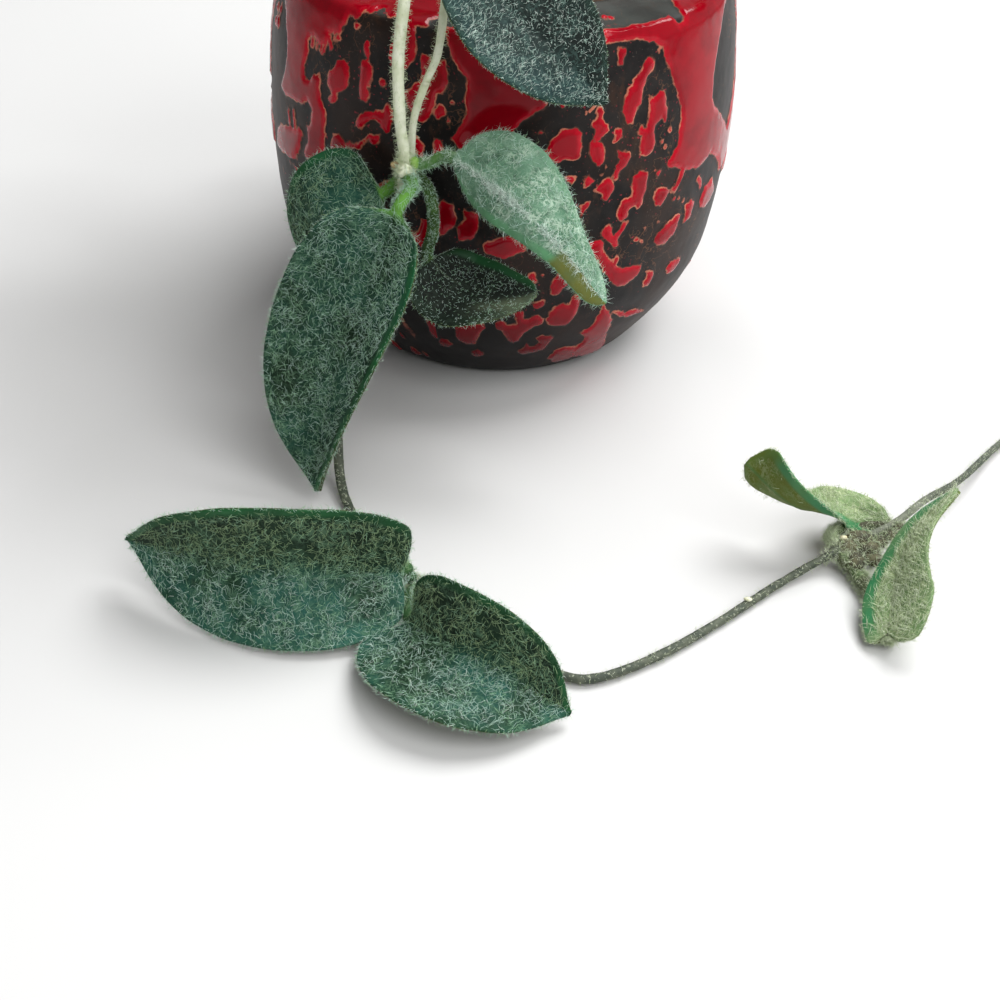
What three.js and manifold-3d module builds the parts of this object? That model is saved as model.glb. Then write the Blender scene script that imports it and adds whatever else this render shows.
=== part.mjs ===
// A hairy-leaved trailing hoya planted in a round glazed pot. Millimetres, +Z up.
// The pot stands on z = 0 with its axis on the origin. The long vine hangs over the
// front of the rim, which is the -Y side, and runs along the table towards +X.
import * as THREE from 'three';
import Module from 'manifold-3d';

const wasm = await Module();
wasm.setup();

// Pot

const POT_SIDES = 48;
const FOOT_RADIUS = 36;
const LIP_RADIUS = 41;
const POT_HEIGHT = 101;
const FLOOR_THICKNESS = 6;
// Outer wall from the foot to the edge of the shoulder, as [radius, height].
const OUTER_WALL = [
  [FOOT_RADIUS, 0],
  [38.6, 0.9],
  [41.6, 3.4],
  [45.9, 8.6],
  [51.6, 16.8],
  [55.1, 24],
  [57.4, 31.5],
  [59.2, 44],
  [59.9, 57],
  [59.7, 70],
  [58.6, 83],
  [56.9, 93],
  [55.9, 96.8],
  [54.2, 98.6],
];
const SHOULDER_AND_LIP = [
  [48, 99.6],
  [LIP_RADIUS + 2, POT_HEIGHT],
  [LIP_RADIUS, POT_HEIGHT - 0.6],
  [LIP_RADIUS - 0.6, POT_HEIGHT - 2.2],
  [LIP_RADIUS - 0.4, POT_HEIGHT - 4.5],
];
// Inner wall from under the lip down to the inner floor.
const INNER_WALL = [
  [46, 94.2],
  [50.6, 88.5],
  [53.4, 80],
  [54.6, 66],
  [54.2, 48],
  [51.6, 31.5],
  [46.4, 18],
  [40, 9.5],
  [35, FLOOR_THICKNESS],
];

// Soil

const SOIL_GAP = 0.45;
const SOIL_TOP = 88;
const SOIL_EDGE_RADIUS = 49.75;
// Rings of the soil's top, as [radius, height above or below the edge].
const SOIL_RINGS = [
  [44, 0.6],
  [27, 0.2],
  [10, 0.7],
];
const SOIL_UNEVENNESS = 0.9;
// How fast the unevenness changes from one side of the soil to the next.
const SOIL_WAVES = [1.7, 0.6];
const HOLE_SIDES = 8;
const HOLE_FLOOR = 77;
const HOLE_CLEARANCE = 0.8;
const HOLE_CUTTER_TOP = 94;

// Stems

const STEM_SIDES = 6;
const STEM_STEP = 6;
const STEM_FOOT = HOLE_FLOOR + 0.4;
const STEM_DIVISIONS = 600;
const NODE_SWELLING = 0.9;
const NODE_REACH = 3.2;
// The tip narrows over this length, to this share of the stem's radius.
const TIP_LENGTH = 1.2;
const TIP_SHARE = 0.5;

// Leaves

const STALK_GAP = 0.3;
const STALK_RADIUS = 1.4;
// Share of the full stalk radius and thickness that the smallest leaf would keep.
const LEAST_STALK_SHARE = 0.35;
const LEAST_THICKNESS_SHARE = 0.55;
// Leaves narrower than this have thinner stalks and blades.
const FULL_LEAF_WIDTH = 18;
const SEATING_TRIES = 8;
const SEATING_REACH = 6;
const LEAF_DIVISIONS = 240;
const LEAF_THICKNESS = 1.8;
const EDGE_THICKNESS_SHARE = 0.45;
// The midrib thickens the blade by this share at its base and fades out along it.
const RIB_SHARE = 0.5;
const RIB_LENGTH_SHARE = 1 / 6;
const ACROSS = [-1, -0.55, 0, 0.55, 1];
const ALONG = [0.03, 0.09, 0.18, 0.3, 0.43, 0.57, 0.7, 0.82, 0.92, 1];
// Where the stalk's rings lie between its start and the base of the blade.
const STALK_STATIONS = [0, 0.36, 0.72];
// Angles of a stalk ring's points over the top, and again over the underside, in degrees.
const STALK_ANGLES = [162, 126, 90, 54, 18];
// Leaf outlines, as [share of the blade's length, share of its half width]: the usual
// leaf, one rolled narrow towards its tip, a young one with wide lobes at its base and
// a young one with a round end.
const OUTLINES = {
  grown: [
    [0, 0.1], [0.03, 0.42], [0.08, 0.66], [0.16, 0.86], [0.27, 0.97], [0.4, 1],
    [0.54, 0.96], [0.67, 0.83], [0.79, 0.62], [0.88, 0.4], [0.95, 0.18], [1, 0.03],
  ],
  rolled: [
    [0, 0.12], [0.03, 0.45], [0.09, 0.75], [0.18, 0.95], [0.3, 1], [0.43, 0.9],
    [0.57, 0.72], [0.7, 0.56], [0.82, 0.44], [0.92, 0.3], [1, 0.06],
  ],
  lobed: [
    [0, 0.2], [0.04, 0.6], [0.1, 0.86], [0.2, 1], [0.33, 0.93], [0.48, 0.74],
    [0.62, 0.6], [0.78, 0.48], [0.9, 0.32], [1, 0.08],
  ],
  spoon: [
    [0, 0.2], [0.05, 0.5], [0.15, 0.75], [0.3, 0.85], [0.45, 0.8], [0.6, 0.82],
    [0.75, 0.95], [0.88, 1], [0.95, 0.8], [1, 0.2],
  ],
};

// Each vine runs through its points from the soil to its growing tip. The listed
// points are its nodes, where the leaves sit. Radius is at the soil and at the tip.
const VINES = {
  long: {
    points: [
      [-9, -13, STEM_FOOT], [-9, -13, 91], [-9.3, -14, 97], [-12, -24, 112], [-17, -42, 120],
      [-20.3, -58, 115.5], [-20.8, -65, 107.5], [-21.8, -67.2, 96], [-21.3, -67.6, 82.5],
      [-20.2, -67.5, 71.5], [-22, -69, 58], [-28, -74, 38], [-33.5, -82, 17],
      [-33.5, -91, 5.5], [-30, -102.5, 1.5], [-22, -117, 1.4], [-12, -130, 2.2],
      [2, -143, 1.5], [12, -152, 1.3], [20.5, -156.3, 1.3], [28, -156, 1.3],
      [40.6, -148.2, 1.3], [54, -136.5, 1.3], [68.7, -122.5, 1.7], [82, -113.3, 4.2],
      [95.5, -106.1, 7.5], [104.4, -96.8, 8], [115.6, -84.3, 5.5], [131, -62, 1.8],
      [146, -45, 1.3], [158, -36, 2.2], [164, -32, 3.4],
    ],
    nodes: [9, 16, 24, 30],
    radius: [1.45, 0.75],
  },
  short: {
    points: [
      [-1, -15, STEM_FOOT], [-1, -15, 91], [-1.3, -16, 97], [-4, -26, 110], [-8.5, -44, 118],
      [-11.6, -56.5, 114], [-12.3, -62, 107], [-13.4, -64, 97], [-15.8, -64.6, 90.5],
      [-18.4, -63.6, 82], [-19, -62.6, 74], [-19, -62.2, 69], [-18.4, -59.8, 65.6],
    ],
    nodes: [11],
    radius: [1.15, 0.8],
  },
  crown: {
    points: [
      [7, -9, STEM_FOOT], [7, -9, 92], [7, -9.6, 99], [5, -18, 121], [-2, -33, 138],
      [-9, -47, 140], [-14, -56, 132], [-20, -61, 126], [-27, -64, 124],
    ],
    nodes: [6],
    radius: [1.35, 0.7],
  },
  right: {
    points: [
      [15, 3, STEM_FOOT], [15, 3, 92], [15.5, 3.3, 99], [21, 7, 121], [31, 11, 138],
      [42, 15, 143], [52, 18.5, 139], [61, 22, 130], [66, 24, 122],
    ],
    nodes: [5, 7],
    radius: [1.4, 0.7],
  },
  left: {
    points: [
      [-16, 4, STEM_FOOT], [-16, 4, 92], [-16.5, 4.3, 99], [-23, 8, 119], [-33, 12, 135],
      [-44, 15, 140], [-54, 18, 136], [-62, 20, 128], [-67, 21, 121],
    ],
    nodes: [5, 7],
    radius: [1.4, 0.7],
  },
  back: {
    points: [
      [1, 15, STEM_FOOT], [1, 15, 91], [1, 16, 97], [1.5, 27, 111], [1, 45, 118],
      [0, 60, 112], [-2, 68, 98], [-3, 70, 82], [-2, 70.5, 66],
      [1, 71, 50], [4, 72, 38], [5, 73.5, 28],
    ],
    nodes: [7, 9],
    radius: [1.4, 0.7],
  },
};

// Leaves placed point by point. The stalk goes from the node through its stalk points
// to the first blade point, and the blade from there to its tip. Half widths, fold and
// cup angles are for the left and the right side, seen from above with the tip away.
const PLACED_LEAVES = {
  leaf_long_1: {
    vine: 'long', node: 9, stalk: [[-14.5, -67.6, 72.8]],
    blade: [[-9, -70.5, 75.5], [4, -82, 73], [15.5, -88.5, 65], [26, -87.5, 50.5]],
    right: [-0.65, -0.47, -0.6], half: [12.6, 8.2], fold: [21, -38], cup: -23, twist: 54,
    outline: 'rolled',
  },
  leaf_long_2: {
    vine: 'long', node: 9, stalk: [[-20.5, -74.5, 70]],
    blade: [[-22, -80.5, 66.5], [-29, -85.5, 45.5], [-35, -93, 25], [-37.5, -100.5, 4]],
    right: [-0.94, 0.32, 0.13], half: [18, 18.4], fold: [20, 20], cup: 29, twist: -25,
  },
  leaf_long_3: {
    vine: 'long', node: 16, stalk: [[-16, -131.5, 8]],
    blade: [[-15, -138, 12], [-36, -143.5, 14], [-55.5, -140, 13], [-74.5, -131, 11.5]],
    right: [0.04, 0.41, 0.91], half: [16, 17.9], fold: [13, 13], cup: 16, twist: 17,
  },
  leaf_long_4: {
    vine: 'long', node: 16, stalk: [[-13.4, -137, 3.4]],
    blade: [[-11.6, -148, 6.2], [-4, -158.5, 10], [8.5, -165, 9], [21.5, -169, 3]],
    right: [-0.48, -0.61, -0.63], half: [14.1, 17.6], fold: [20, 18], cup: 26, twist: 0,
  },
  leaf_long_5: {
    vine: 'long', node: 24, stalk: [[81.8, -108.2, 4.6], [85.8, -104.2, 4.6]],
    blade: [[95.5, -102.2, 4.6], [83, -100.5, 8], [72, -110, 14.5], [60.5, -102.5, 20]],
    right: [0.32, 0.57, 0.76], half: [7.7, 5.4], fold: [4, 14], cup: 4, twist: -158,
    outline: 'spoon',
  },
  leaf_long_6: {
    vine: 'long', node: 24, stalk: [[86.5, -119.5, 2.4], [90, -134, 1.9]],
    blade: [[89.5, -142, 3.4], [92.5, -129, 8], [97, -119, 15], [106, -111.5, 22]],
    right: [0.72, -0.6, 0.34], half: [6.9, 10.7], fold: [13, 16], cup: -1, twist: 21,
    outline: 'lobed',
  },
  leaf_short_1: {
    vine: 'short', node: 11, stalk: [],
    blade: [[-25.5, -63.5, 62.5], [-36, -64.5, 57], [-41, -62.5, 48], [-43, -59.5, 37]],
    right: [-0.39, 0.82, 0.42], half: [11.7, 15.5], fold: [11, 9], cup: 12, twist: 0,
  },
  leaf_short_2: {
    vine: 'short', node: 11, stalk: [[-14.6, -65, 64], [-13.6, -66.5, 56]],
    blade: [[-14.5, -67.5, 48.5], [-7, -71, 43.5], [1.5, -74, 44], [11, -75.5, 45.5]],
    right: [-0.31, -0.87, -0.37], half: [10.3, 14.1], fold: [5, 6], cup: 4, twist: 11,
  },
  leaf_crown_1: {
    vine: 'crown', node: 6, stalk: [[-11.2, -59.2, 127.5]],
    blade: [[-11, -61.5, 120.5], [-0.5, -63, 108.5], [11.5, -67, 99.5], [23.5, -70.5, 90]],
    right: [-0.5, -0.81, -0.32], half: [15.9, 18.1], fold: [9, 11], cup: 14, twist: -17,
  },
};

// Leaves that leave their node at an azimuth from +X and a rise above level, then bend
// down by the droop angle over their length. Lean turns the blade about its midrib.
const FREE_LEAVES = {
  leaf_long_7: {
    vine: 'long', node: 30, azimuth: 95, rise: 30, stalk: 4, length: 15,
    half: 4, droop: 20, lean: 0,
  },
  leaf_long_8: {
    vine: 'long', node: 30, azimuth: -35, rise: 25, stalk: 4, length: 17,
    half: 4.5, droop: 15, lean: 0,
  },
  leaf_crown_2: {
    vine: 'crown', node: 6, azimuth: 188, rise: 22, stalk: 9, length: 54,
    half: 16, droop: 40, lean: 12,
  },
  leaf_right_1: {
    vine: 'right', node: 5, azimuth: 112, rise: 32, stalk: 10, length: 58,
    half: 17, droop: 65, lean: 0,
  },
  leaf_right_2: {
    vine: 'right', node: 5, azimuth: -62, rise: 28, stalk: 10, length: 60,
    half: 17.5, droop: 60, lean: 5,
  },
  leaf_right_3: {
    vine: 'right', node: 7, azimuth: 62, rise: -5, stalk: 9, length: 52,
    half: 15.5, droop: 50, lean: -10,
  },
  leaf_right_4: {
    vine: 'right', node: 7, azimuth: -28, rise: 0, stalk: 9, length: 50,
    half: 15, droop: 35, lean: 10,
  },
  leaf_left_1: {
    vine: 'left', node: 5, azimuth: 68, rise: 30, stalk: 10, length: 57,
    half: 17, droop: 60, lean: 0,
  },
  leaf_left_2: {
    vine: 'left', node: 5, azimuth: -112, rise: 28, stalk: 10, length: 58,
    half: 17, droop: 55, lean: -5,
  },
  leaf_left_3: {
    vine: 'left', node: 7, azimuth: 118, rise: -5, stalk: 9, length: 50,
    half: 15, droop: 45, lean: 10,
  },
  leaf_left_4: {
    vine: 'left', node: 7, azimuth: 205, rise: 0, stalk: 9, length: 50,
    half: 15, droop: 35, lean: -10,
  },
  leaf_back_1: {
    vine: 'back', node: 7, azimuth: 158, rise: -25, stalk: 9, length: 54,
    half: 16, droop: 50, lean: 25,
  },
  leaf_back_2: {
    vine: 'back', node: 7, azimuth: 20, rise: -22, stalk: 9, length: 52,
    half: 15.5, droop: 50, lean: -25,
  },
  leaf_back_3: {
    vine: 'back', node: 9, azimuth: 135, rise: -15, stalk: 8, length: 42,
    half: 13, droop: 45, lean: 10,
  },
  leaf_back_4: {
    vine: 'back', node: 9, azimuth: 48, rise: -15, stalk: 8, length: 44,
    half: 13.5, droop: 45, lean: -10,
  },
};

// Colours

const GLAZE = new THREE.MeshStandardMaterial({ color: 0x8c1420, roughness: 0.3, metalness: 0 });
const SOIL = new THREE.MeshStandardMaterial({ color: 0x3a2a1e, roughness: 0.95, metalness: 0 });
const STEM = new THREE.MeshStandardMaterial({ color: 0x93a884, roughness: 0.75, metalness: 0 });
const LEAF = new THREE.MeshStandardMaterial({ color: 0x2f5a42, roughness: 0.7, metalness: 0 });

const part = new THREE.Group();
part.name = 'potted_hoya';

function radians(degrees) {
  return THREE.MathUtils.degToRad(degrees);
}

function vector(point) {
  return new THREE.Vector3(...point);
}

// A closed solid through rings that turn the same way about the direction of travel.
// Quads from mirrored onwards are split along their other diagonal.
function loft(rings, mirrored = Infinity) {
  const sides = rings[0].length;
  const positions = rings.flat().flatMap((p) => [p.x, p.y, p.z]);
  const indices = [];
  for (let k = 0; k + 1 < rings.length; k += 1) {
    for (let i = 0; i < sides; i += 1) {
      const a = k * sides + i;
      const b = k * sides + ((i + 1) % sides);
      const c = a + sides;
      const d = b + sides;
      if (i >= mirrored) {
        indices.push(a, b, c, b, d, c);
      } else {
        indices.push(a, b, d, a, d, c);
      }
    }
  }
  const last = (rings.length - 1) * sides;
  for (let i = 1; i + 1 < sides; i += 1) {
    indices.push(0, i + 1, i);
    indices.push(last, last + i, last + i + 1);
  }
  const geometry = new THREE.BufferGeometry();
  geometry.setAttribute('position', new THREE.Float32BufferAttribute(positions, 3));
  geometry.setIndex(indices);
  return geometry;
}

function circle(radius, height, sides) {
  const ring = [];
  for (let i = 0; i < sides; i += 1) {
    const angle = (2 * Math.PI * i) / sides;
    ring.push(new THREE.Vector3(radius * Math.cos(angle), radius * Math.sin(angle), height));
  }
  return ring;
}

function toManifold(geometry) {
  const vertProperties = new Float32Array(geometry.attributes.position.array);
  const triVerts = new Uint32Array(geometry.index.array);
  return new wasm.Manifold(new wasm.Mesh({ numProp: 3, vertProperties, triVerts }));
}

function fromManifold(solid) {
  const mesh = solid.getMesh();
  const geometry = new THREE.BufferGeometry();
  geometry.setAttribute('position', new THREE.BufferAttribute(mesh.vertProperties, 3));
  geometry.setIndex(new THREE.BufferAttribute(mesh.triVerts, 1));
  return geometry;
}

function addNode(name, geometry, material) {
  geometry.computeVertexNormals();
  const mesh = new THREE.Mesh(geometry, material);
  mesh.name = name;
  part.add(mesh);
}

// The pot is one solid: foot, bellied wall, shoulder, lip and inside.
function makePot() {
  const profile = [...OUTER_WALL, ...SHOULDER_AND_LIP, ...INNER_WALL];
  return loft(profile.map(([radius, height]) => circle(radius, height, POT_SIDES)));
}

// The soil fills the inside a little below the lip and has one plain hole for each vine.
function makeSoil() {
  const wall = INNER_WALL.filter(([, height]) => height < SOIL_TOP).reverse();
  const rings = wall.map(([radius, height]) => {
    const lifted = height === FLOOR_THICKNESS ? height + SOIL_GAP : height;
    return circle(radius - SOIL_GAP, lifted, POT_SIDES);
  });
  rings.push(circle(SOIL_EDGE_RADIUS, SOIL_TOP, POT_SIDES));
  for (const [radius, rise] of SOIL_RINGS) {
    const ring = circle(radius, SOIL_TOP + rise, POT_SIDES);
    ring.forEach((point, i) => {
      const [quick, slow] = SOIL_WAVES;
      point.z += SOIL_UNEVENNESS * Math.sin(i * quick + radius) * Math.cos(i * slow);
    });
    rings.push(ring);
  }
  let soil = toManifold(loft(rings));
  for (const { points, radius } of Object.values(VINES)) {
    const [x, y] = points[0];
    const wide = radius[0] + HOLE_CLEARANCE;
    const bottom = circle(wide, HOLE_FLOOR, HOLE_SIDES);
    const top = circle(wide, HOLE_CUTTER_TOP, HOLE_SIDES);
    const cutter = loft([bottom, top]).translate(x, y, 0);
    soil = soil.subtract(toManifold(cutter));
  }
  return fromManifold(soil);
}

function nodeDistances(curve, vine) {
  curve.arcLengthDivisions = STEM_DIVISIONS;
  const lengths = curve.getLengths();
  return vine.nodes.map((index) => {
    const share = index / (vine.points.length - 1);
    return lengths[Math.round(share * curve.arcLengthDivisions)];
  });
}

function stemRadius(vine, distance, total, nodes) {
  const [thick, thin] = vine.radius;
  let radius = thick + (thin - thick) * (distance / total);
  for (const node of nodes) {
    const near = Math.max(0, 1 - Math.abs(distance - node) / NODE_REACH);
    radius += NODE_SWELLING * near * near * (3 - 2 * near) * (radius / thick);
  }
  return radius;
}

// A stem is a tapering tube, thicker at its nodes, with a rounded growing tip.
function makeStem(vine) {
  const curve = new THREE.CatmullRomCurve3(vine.points.map(vector), false, 'catmullrom', 0.5);
  const nodes = nodeDistances(curve, vine);
  const total = curve.getLength();
  const stations = new Set([0, total - TIP_LENGTH, total]);
  for (let distance = STEM_STEP; distance < total - STEM_STEP / 2; distance += STEM_STEP) {
    if (nodes.every((node) => Math.abs(distance - node) > NODE_REACH + 1)) {
      stations.add(distance);
    }
  }
  for (const node of nodes) {
    for (const offset of [-NODE_REACH, -NODE_REACH / 3, NODE_REACH / 3, NODE_REACH]) {
      stations.add(node + offset);
    }
  }
  const sorted = [...stations].sort((a, b) => a - b);
  let side = new THREE.Vector3(1, 0, 0);
  const rings = sorted.map((distance) => {
    const u = Math.min(1, distance / total);
    const tangent = curve.getTangentAt(u);
    const centre = curve.getPointAt(u);
    side = side.clone().addScaledVector(tangent, -side.dot(tangent)).normalize();
    const up = tangent.clone().cross(side);
    const isTip = distance === total;
    const radius = stemRadius(vine, distance, total, nodes) * (isTip ? TIP_SHARE : 1);
    const ring = [];
    for (let i = 0; i < STEM_SIDES; i += 1) {
      const angle = (2 * Math.PI * i) / STEM_SIDES;
      ring.push(centre.clone()
        .addScaledVector(side, radius * Math.cos(angle))
        .addScaledVector(up, radius * Math.sin(angle)));
    }
    return ring;
  });
  return loft(rings);
}

function widthShare(outline, t) {
  const k = Math.max(1, outline.findIndex(([share]) => share >= t));
  const [t0, w0] = outline[k - 1];
  const [t1, w1] = outline[k];
  return w0 + ((w1 - w0) * (t - t0)) / (t1 - t0);
}

// The path of a leaf that leaves its node at an angle and droops.
function droopingPath(leaf, node) {
  const heading = radians(leaf.azimuth);
  const step = (point, degrees, distance) => point.clone().add(new THREE.Vector3(
    distance * Math.cos(radians(degrees)) * Math.cos(heading),
    distance * Math.cos(radians(degrees)) * Math.sin(heading),
    distance * Math.sin(radians(degrees)),
  ));
  const base = step(node, leaf.rise, leaf.stalk);
  const path = [base];
  for (const share of [1 / 6, 1 / 2, 5 / 6]) {
    const degrees = leaf.rise - leaf.droop * share;
    path.push(step(path[path.length - 1], degrees, leaf.length / 3));
  }
  return path;
}

function describeLeaf(leaf) {
  const vine = VINES[leaf.vine];
  const node = vector(vine.points[leaf.node]);
  if (leaf.blade) {
    return {
      node,
      stalk: leaf.stalk.map(vector),
      blade: leaf.blade.map(vector),
      right: vector(leaf.right),
      half: leaf.half,
      fold: leaf.fold,
      cup: leaf.cup,
      twist: leaf.twist,
    };
  }
  const heading = radians(leaf.azimuth);
  return {
    node,
    stalk: [],
    blade: droopingPath(leaf, node),
    right: new THREE.Vector3(
      Math.sin(heading) * Math.cos(radians(leaf.lean)),
      -Math.cos(heading) * Math.cos(radians(leaf.lean)),
      -Math.sin(radians(leaf.lean)),
    ),
    half: [leaf.half, leaf.half],
    fold: [12, 12],
    cup: 14,
    twist: 0,
  };
}

// Offset of a point on one side of the blade: outwards, upwards and its slope.
function bladeSection(share, foldAngle, cupAngle) {
  const slope = foldAngle + cupAngle * share;
  return {
    out: (Math.sin(slope) - Math.sin(foldAngle)) / cupAngle,
    up: (Math.cos(foldAngle) - Math.cos(slope)) / cupAngle,
    slope,
  };
}

// A leaf is one solid: a round stalk that spreads into a folded and cupped blade. The
// stalk starts the given distance from the middle of its node.
function shapeLeaf(leaf, startDistance) {
  const { node, stalk, blade, right, half, fold, cup, twist } = describeLeaf(leaf);
  const size = Math.min(1, (half[0] + half[1]) / FULL_LEAF_WIDTH);
  const stalkRadius = STALK_RADIUS * THREE.MathUtils.lerp(LEAST_STALK_SHARE, 1, size);
  const bladeThickness = LEAF_THICKNESS * THREE.MathUtils.lerp(LEAST_THICKNESS_SHARE, 1, size);
  const first = stalk[0] || blade[0];
  const away = first.clone().sub(node).normalize();
  const start = node.clone().addScaledVector(away, startDistance);
  const path = [start, ...stalk, ...blade];
  const curve = new THREE.CatmullRomCurve3(path, false, 'catmullrom', 0.5);
  curve.arcLengthDivisions = LEAF_DIVISIONS;
  const baseShare = (stalk.length + 1) / (path.length - 1);
  const lengths = curve.getLengths();
  const total = lengths[lengths.length - 1];
  const stalkLength = lengths[Math.round(baseShare * curve.arcLengthDivisions)];
  const rings = [];
  const frameAt = (distance, turn) => {
    const u = Math.min(1, distance / total);
    const tangent = curve.getTangentAt(u);
    const centre = curve.getPointAt(u);
    const across = right.clone().addScaledVector(tangent, -right.dot(tangent)).normalize();
    const above = across.clone().cross(tangent);
    const c = Math.cos(turn);
    const s = Math.sin(turn);
    return {
      centre,
      across: across.clone().multiplyScalar(c).addScaledVector(above, s),
      above: above.clone().multiplyScalar(c).addScaledVector(across, -s),
    };
  };
  const aroundStalk = [...STALK_ANGLES, ...STALK_ANGLES.map((angle) => angle - 180)];
  for (const station of STALK_STATIONS) {
    const { centre, across, above } = frameAt(stalkLength * station, 0);
    rings.push(aroundStalk.map((angle) => centre.clone()
      .addScaledVector(across, stalkRadius * Math.cos(radians(angle)))
      .addScaledVector(above, stalkRadius * Math.sin(radians(angle)))));
  }
  for (const t of ALONG) {
    const distance = stalkLength + (total - stalkLength) * t;
    const { centre, across, above } = frameAt(distance, radians(twist) * t);
    const upper = [];
    const lower = [];
    for (const v of ACROSS) {
      const k = v < 0 ? 0 : 1;
      const sign = v < 0 ? -1 : 1;
      const reach = half[k] * widthShare(OUTLINES[leaf.outline], t);
      const { out, up, slope } = bladeSection(Math.abs(v), radians(fold[k]), radians(cup));
      const middle = centre.clone()
        .addScaledVector(across, sign * out * reach)
        .addScaledVector(above, up * reach);
      const normal = above.clone().multiplyScalar(Math.cos(slope))
        .addScaledVector(across, -sign * Math.sin(slope));
      const rib = Math.max(0, 1 - t / RIB_LENGTH_SHARE) * (1 - Math.abs(v));
      const edge = 1 - (1 - EDGE_THICKNESS_SHARE) * v ** 4;
      const thickness = bladeThickness * (edge + RIB_SHARE * rib);
      upper.push(middle.clone().addScaledVector(normal, thickness / 2));
      lower.unshift(middle.clone().addScaledVector(normal, -thickness / 2));
    }
    rings.push([...upper, ...lower]);
  }
  return loft(rings, ACROSS.length);
}

// Slides the start of the stalk along its direction until it almost meets the stem.
function makeLeaf(leaf, stem) {
  const stemSolid = toManifold(stem);
  let startDistance = VINES[leaf.vine].radius[0] + NODE_SWELLING;
  for (let tries = 0; tries < SEATING_TRIES; tries += 1) {
    const gap = toManifold(shapeLeaf(leaf, startDistance)).minGap(stemSolid, SEATING_REACH);
    startDistance += STALK_GAP - gap;
  }
  return shapeLeaf(leaf, startDistance);
}

addNode('pot', makePot(), GLAZE);
addNode('soil', makeSoil(), SOIL);
const stems = {};
for (const [name, vine] of Object.entries(VINES)) {
  stems[name] = makeStem(vine);
  addNode(`vine_${name}`, stems[name], STEM);
}
for (const [name, leaf] of Object.entries({ ...PLACED_LEAVES, ...FREE_LEAVES })) {
  addNode(name, makeLeaf({ outline: 'grown', ...leaf }, stems[leaf.vine]), LEAF);
}

export default part;
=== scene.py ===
"""Looks of a hairy-leaved trailing hoya in a round glazed pot.

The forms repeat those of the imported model. Lengths are in millimetres until a mesh is
made, and in metres from there on.
"""

import math

import bmesh
import bpy
import numpy as np
from mathutils import Matrix


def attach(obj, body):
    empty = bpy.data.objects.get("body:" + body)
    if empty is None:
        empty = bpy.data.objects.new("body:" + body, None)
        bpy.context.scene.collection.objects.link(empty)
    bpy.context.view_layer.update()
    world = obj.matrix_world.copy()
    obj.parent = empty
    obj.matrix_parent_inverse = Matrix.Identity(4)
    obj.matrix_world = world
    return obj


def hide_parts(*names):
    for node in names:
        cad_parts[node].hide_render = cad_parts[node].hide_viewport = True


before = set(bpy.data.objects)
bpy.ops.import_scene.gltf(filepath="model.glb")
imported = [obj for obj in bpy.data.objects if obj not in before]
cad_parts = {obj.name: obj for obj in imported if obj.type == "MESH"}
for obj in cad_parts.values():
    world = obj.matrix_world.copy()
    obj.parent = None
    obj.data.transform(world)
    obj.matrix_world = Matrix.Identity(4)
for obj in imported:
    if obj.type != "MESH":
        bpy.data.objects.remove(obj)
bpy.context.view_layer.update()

MM = 0.001
rng = np.random.default_rng(11)

# Pot wall from the foot to the lip and down inside, as (radius, height)

OUTER_WALL = [
    (36, 0), (38.6, 0.9), (41.6, 3.4), (45.9, 8.6), (51.6, 16.8), (55.1, 24), (57.4, 31.5),
    (59.2, 44), (59.9, 57), (59.7, 70), (58.6, 83), (56.9, 93), (55.9, 96.8), (54.2, 98.6),
    (48, 99.6), (43, 101),
]
LIP_AND_INSIDE = [
    (41, 100.4), (40.4, 98.8), (40.6, 96.5), (46, 94.2), (50.6, 88.5), (53.4, 80),
    (54.6, 66), (54.2, 48), (51.6, 31.5), (46.4, 18), (40, 9.5), (35, 6),
]
SOIL_TOP = 88
SOIL_EDGE_RADIUS = 49.75

# Vines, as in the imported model: a vine's points, which of them are nodes, and its radius at
# the foot and the tip

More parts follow.
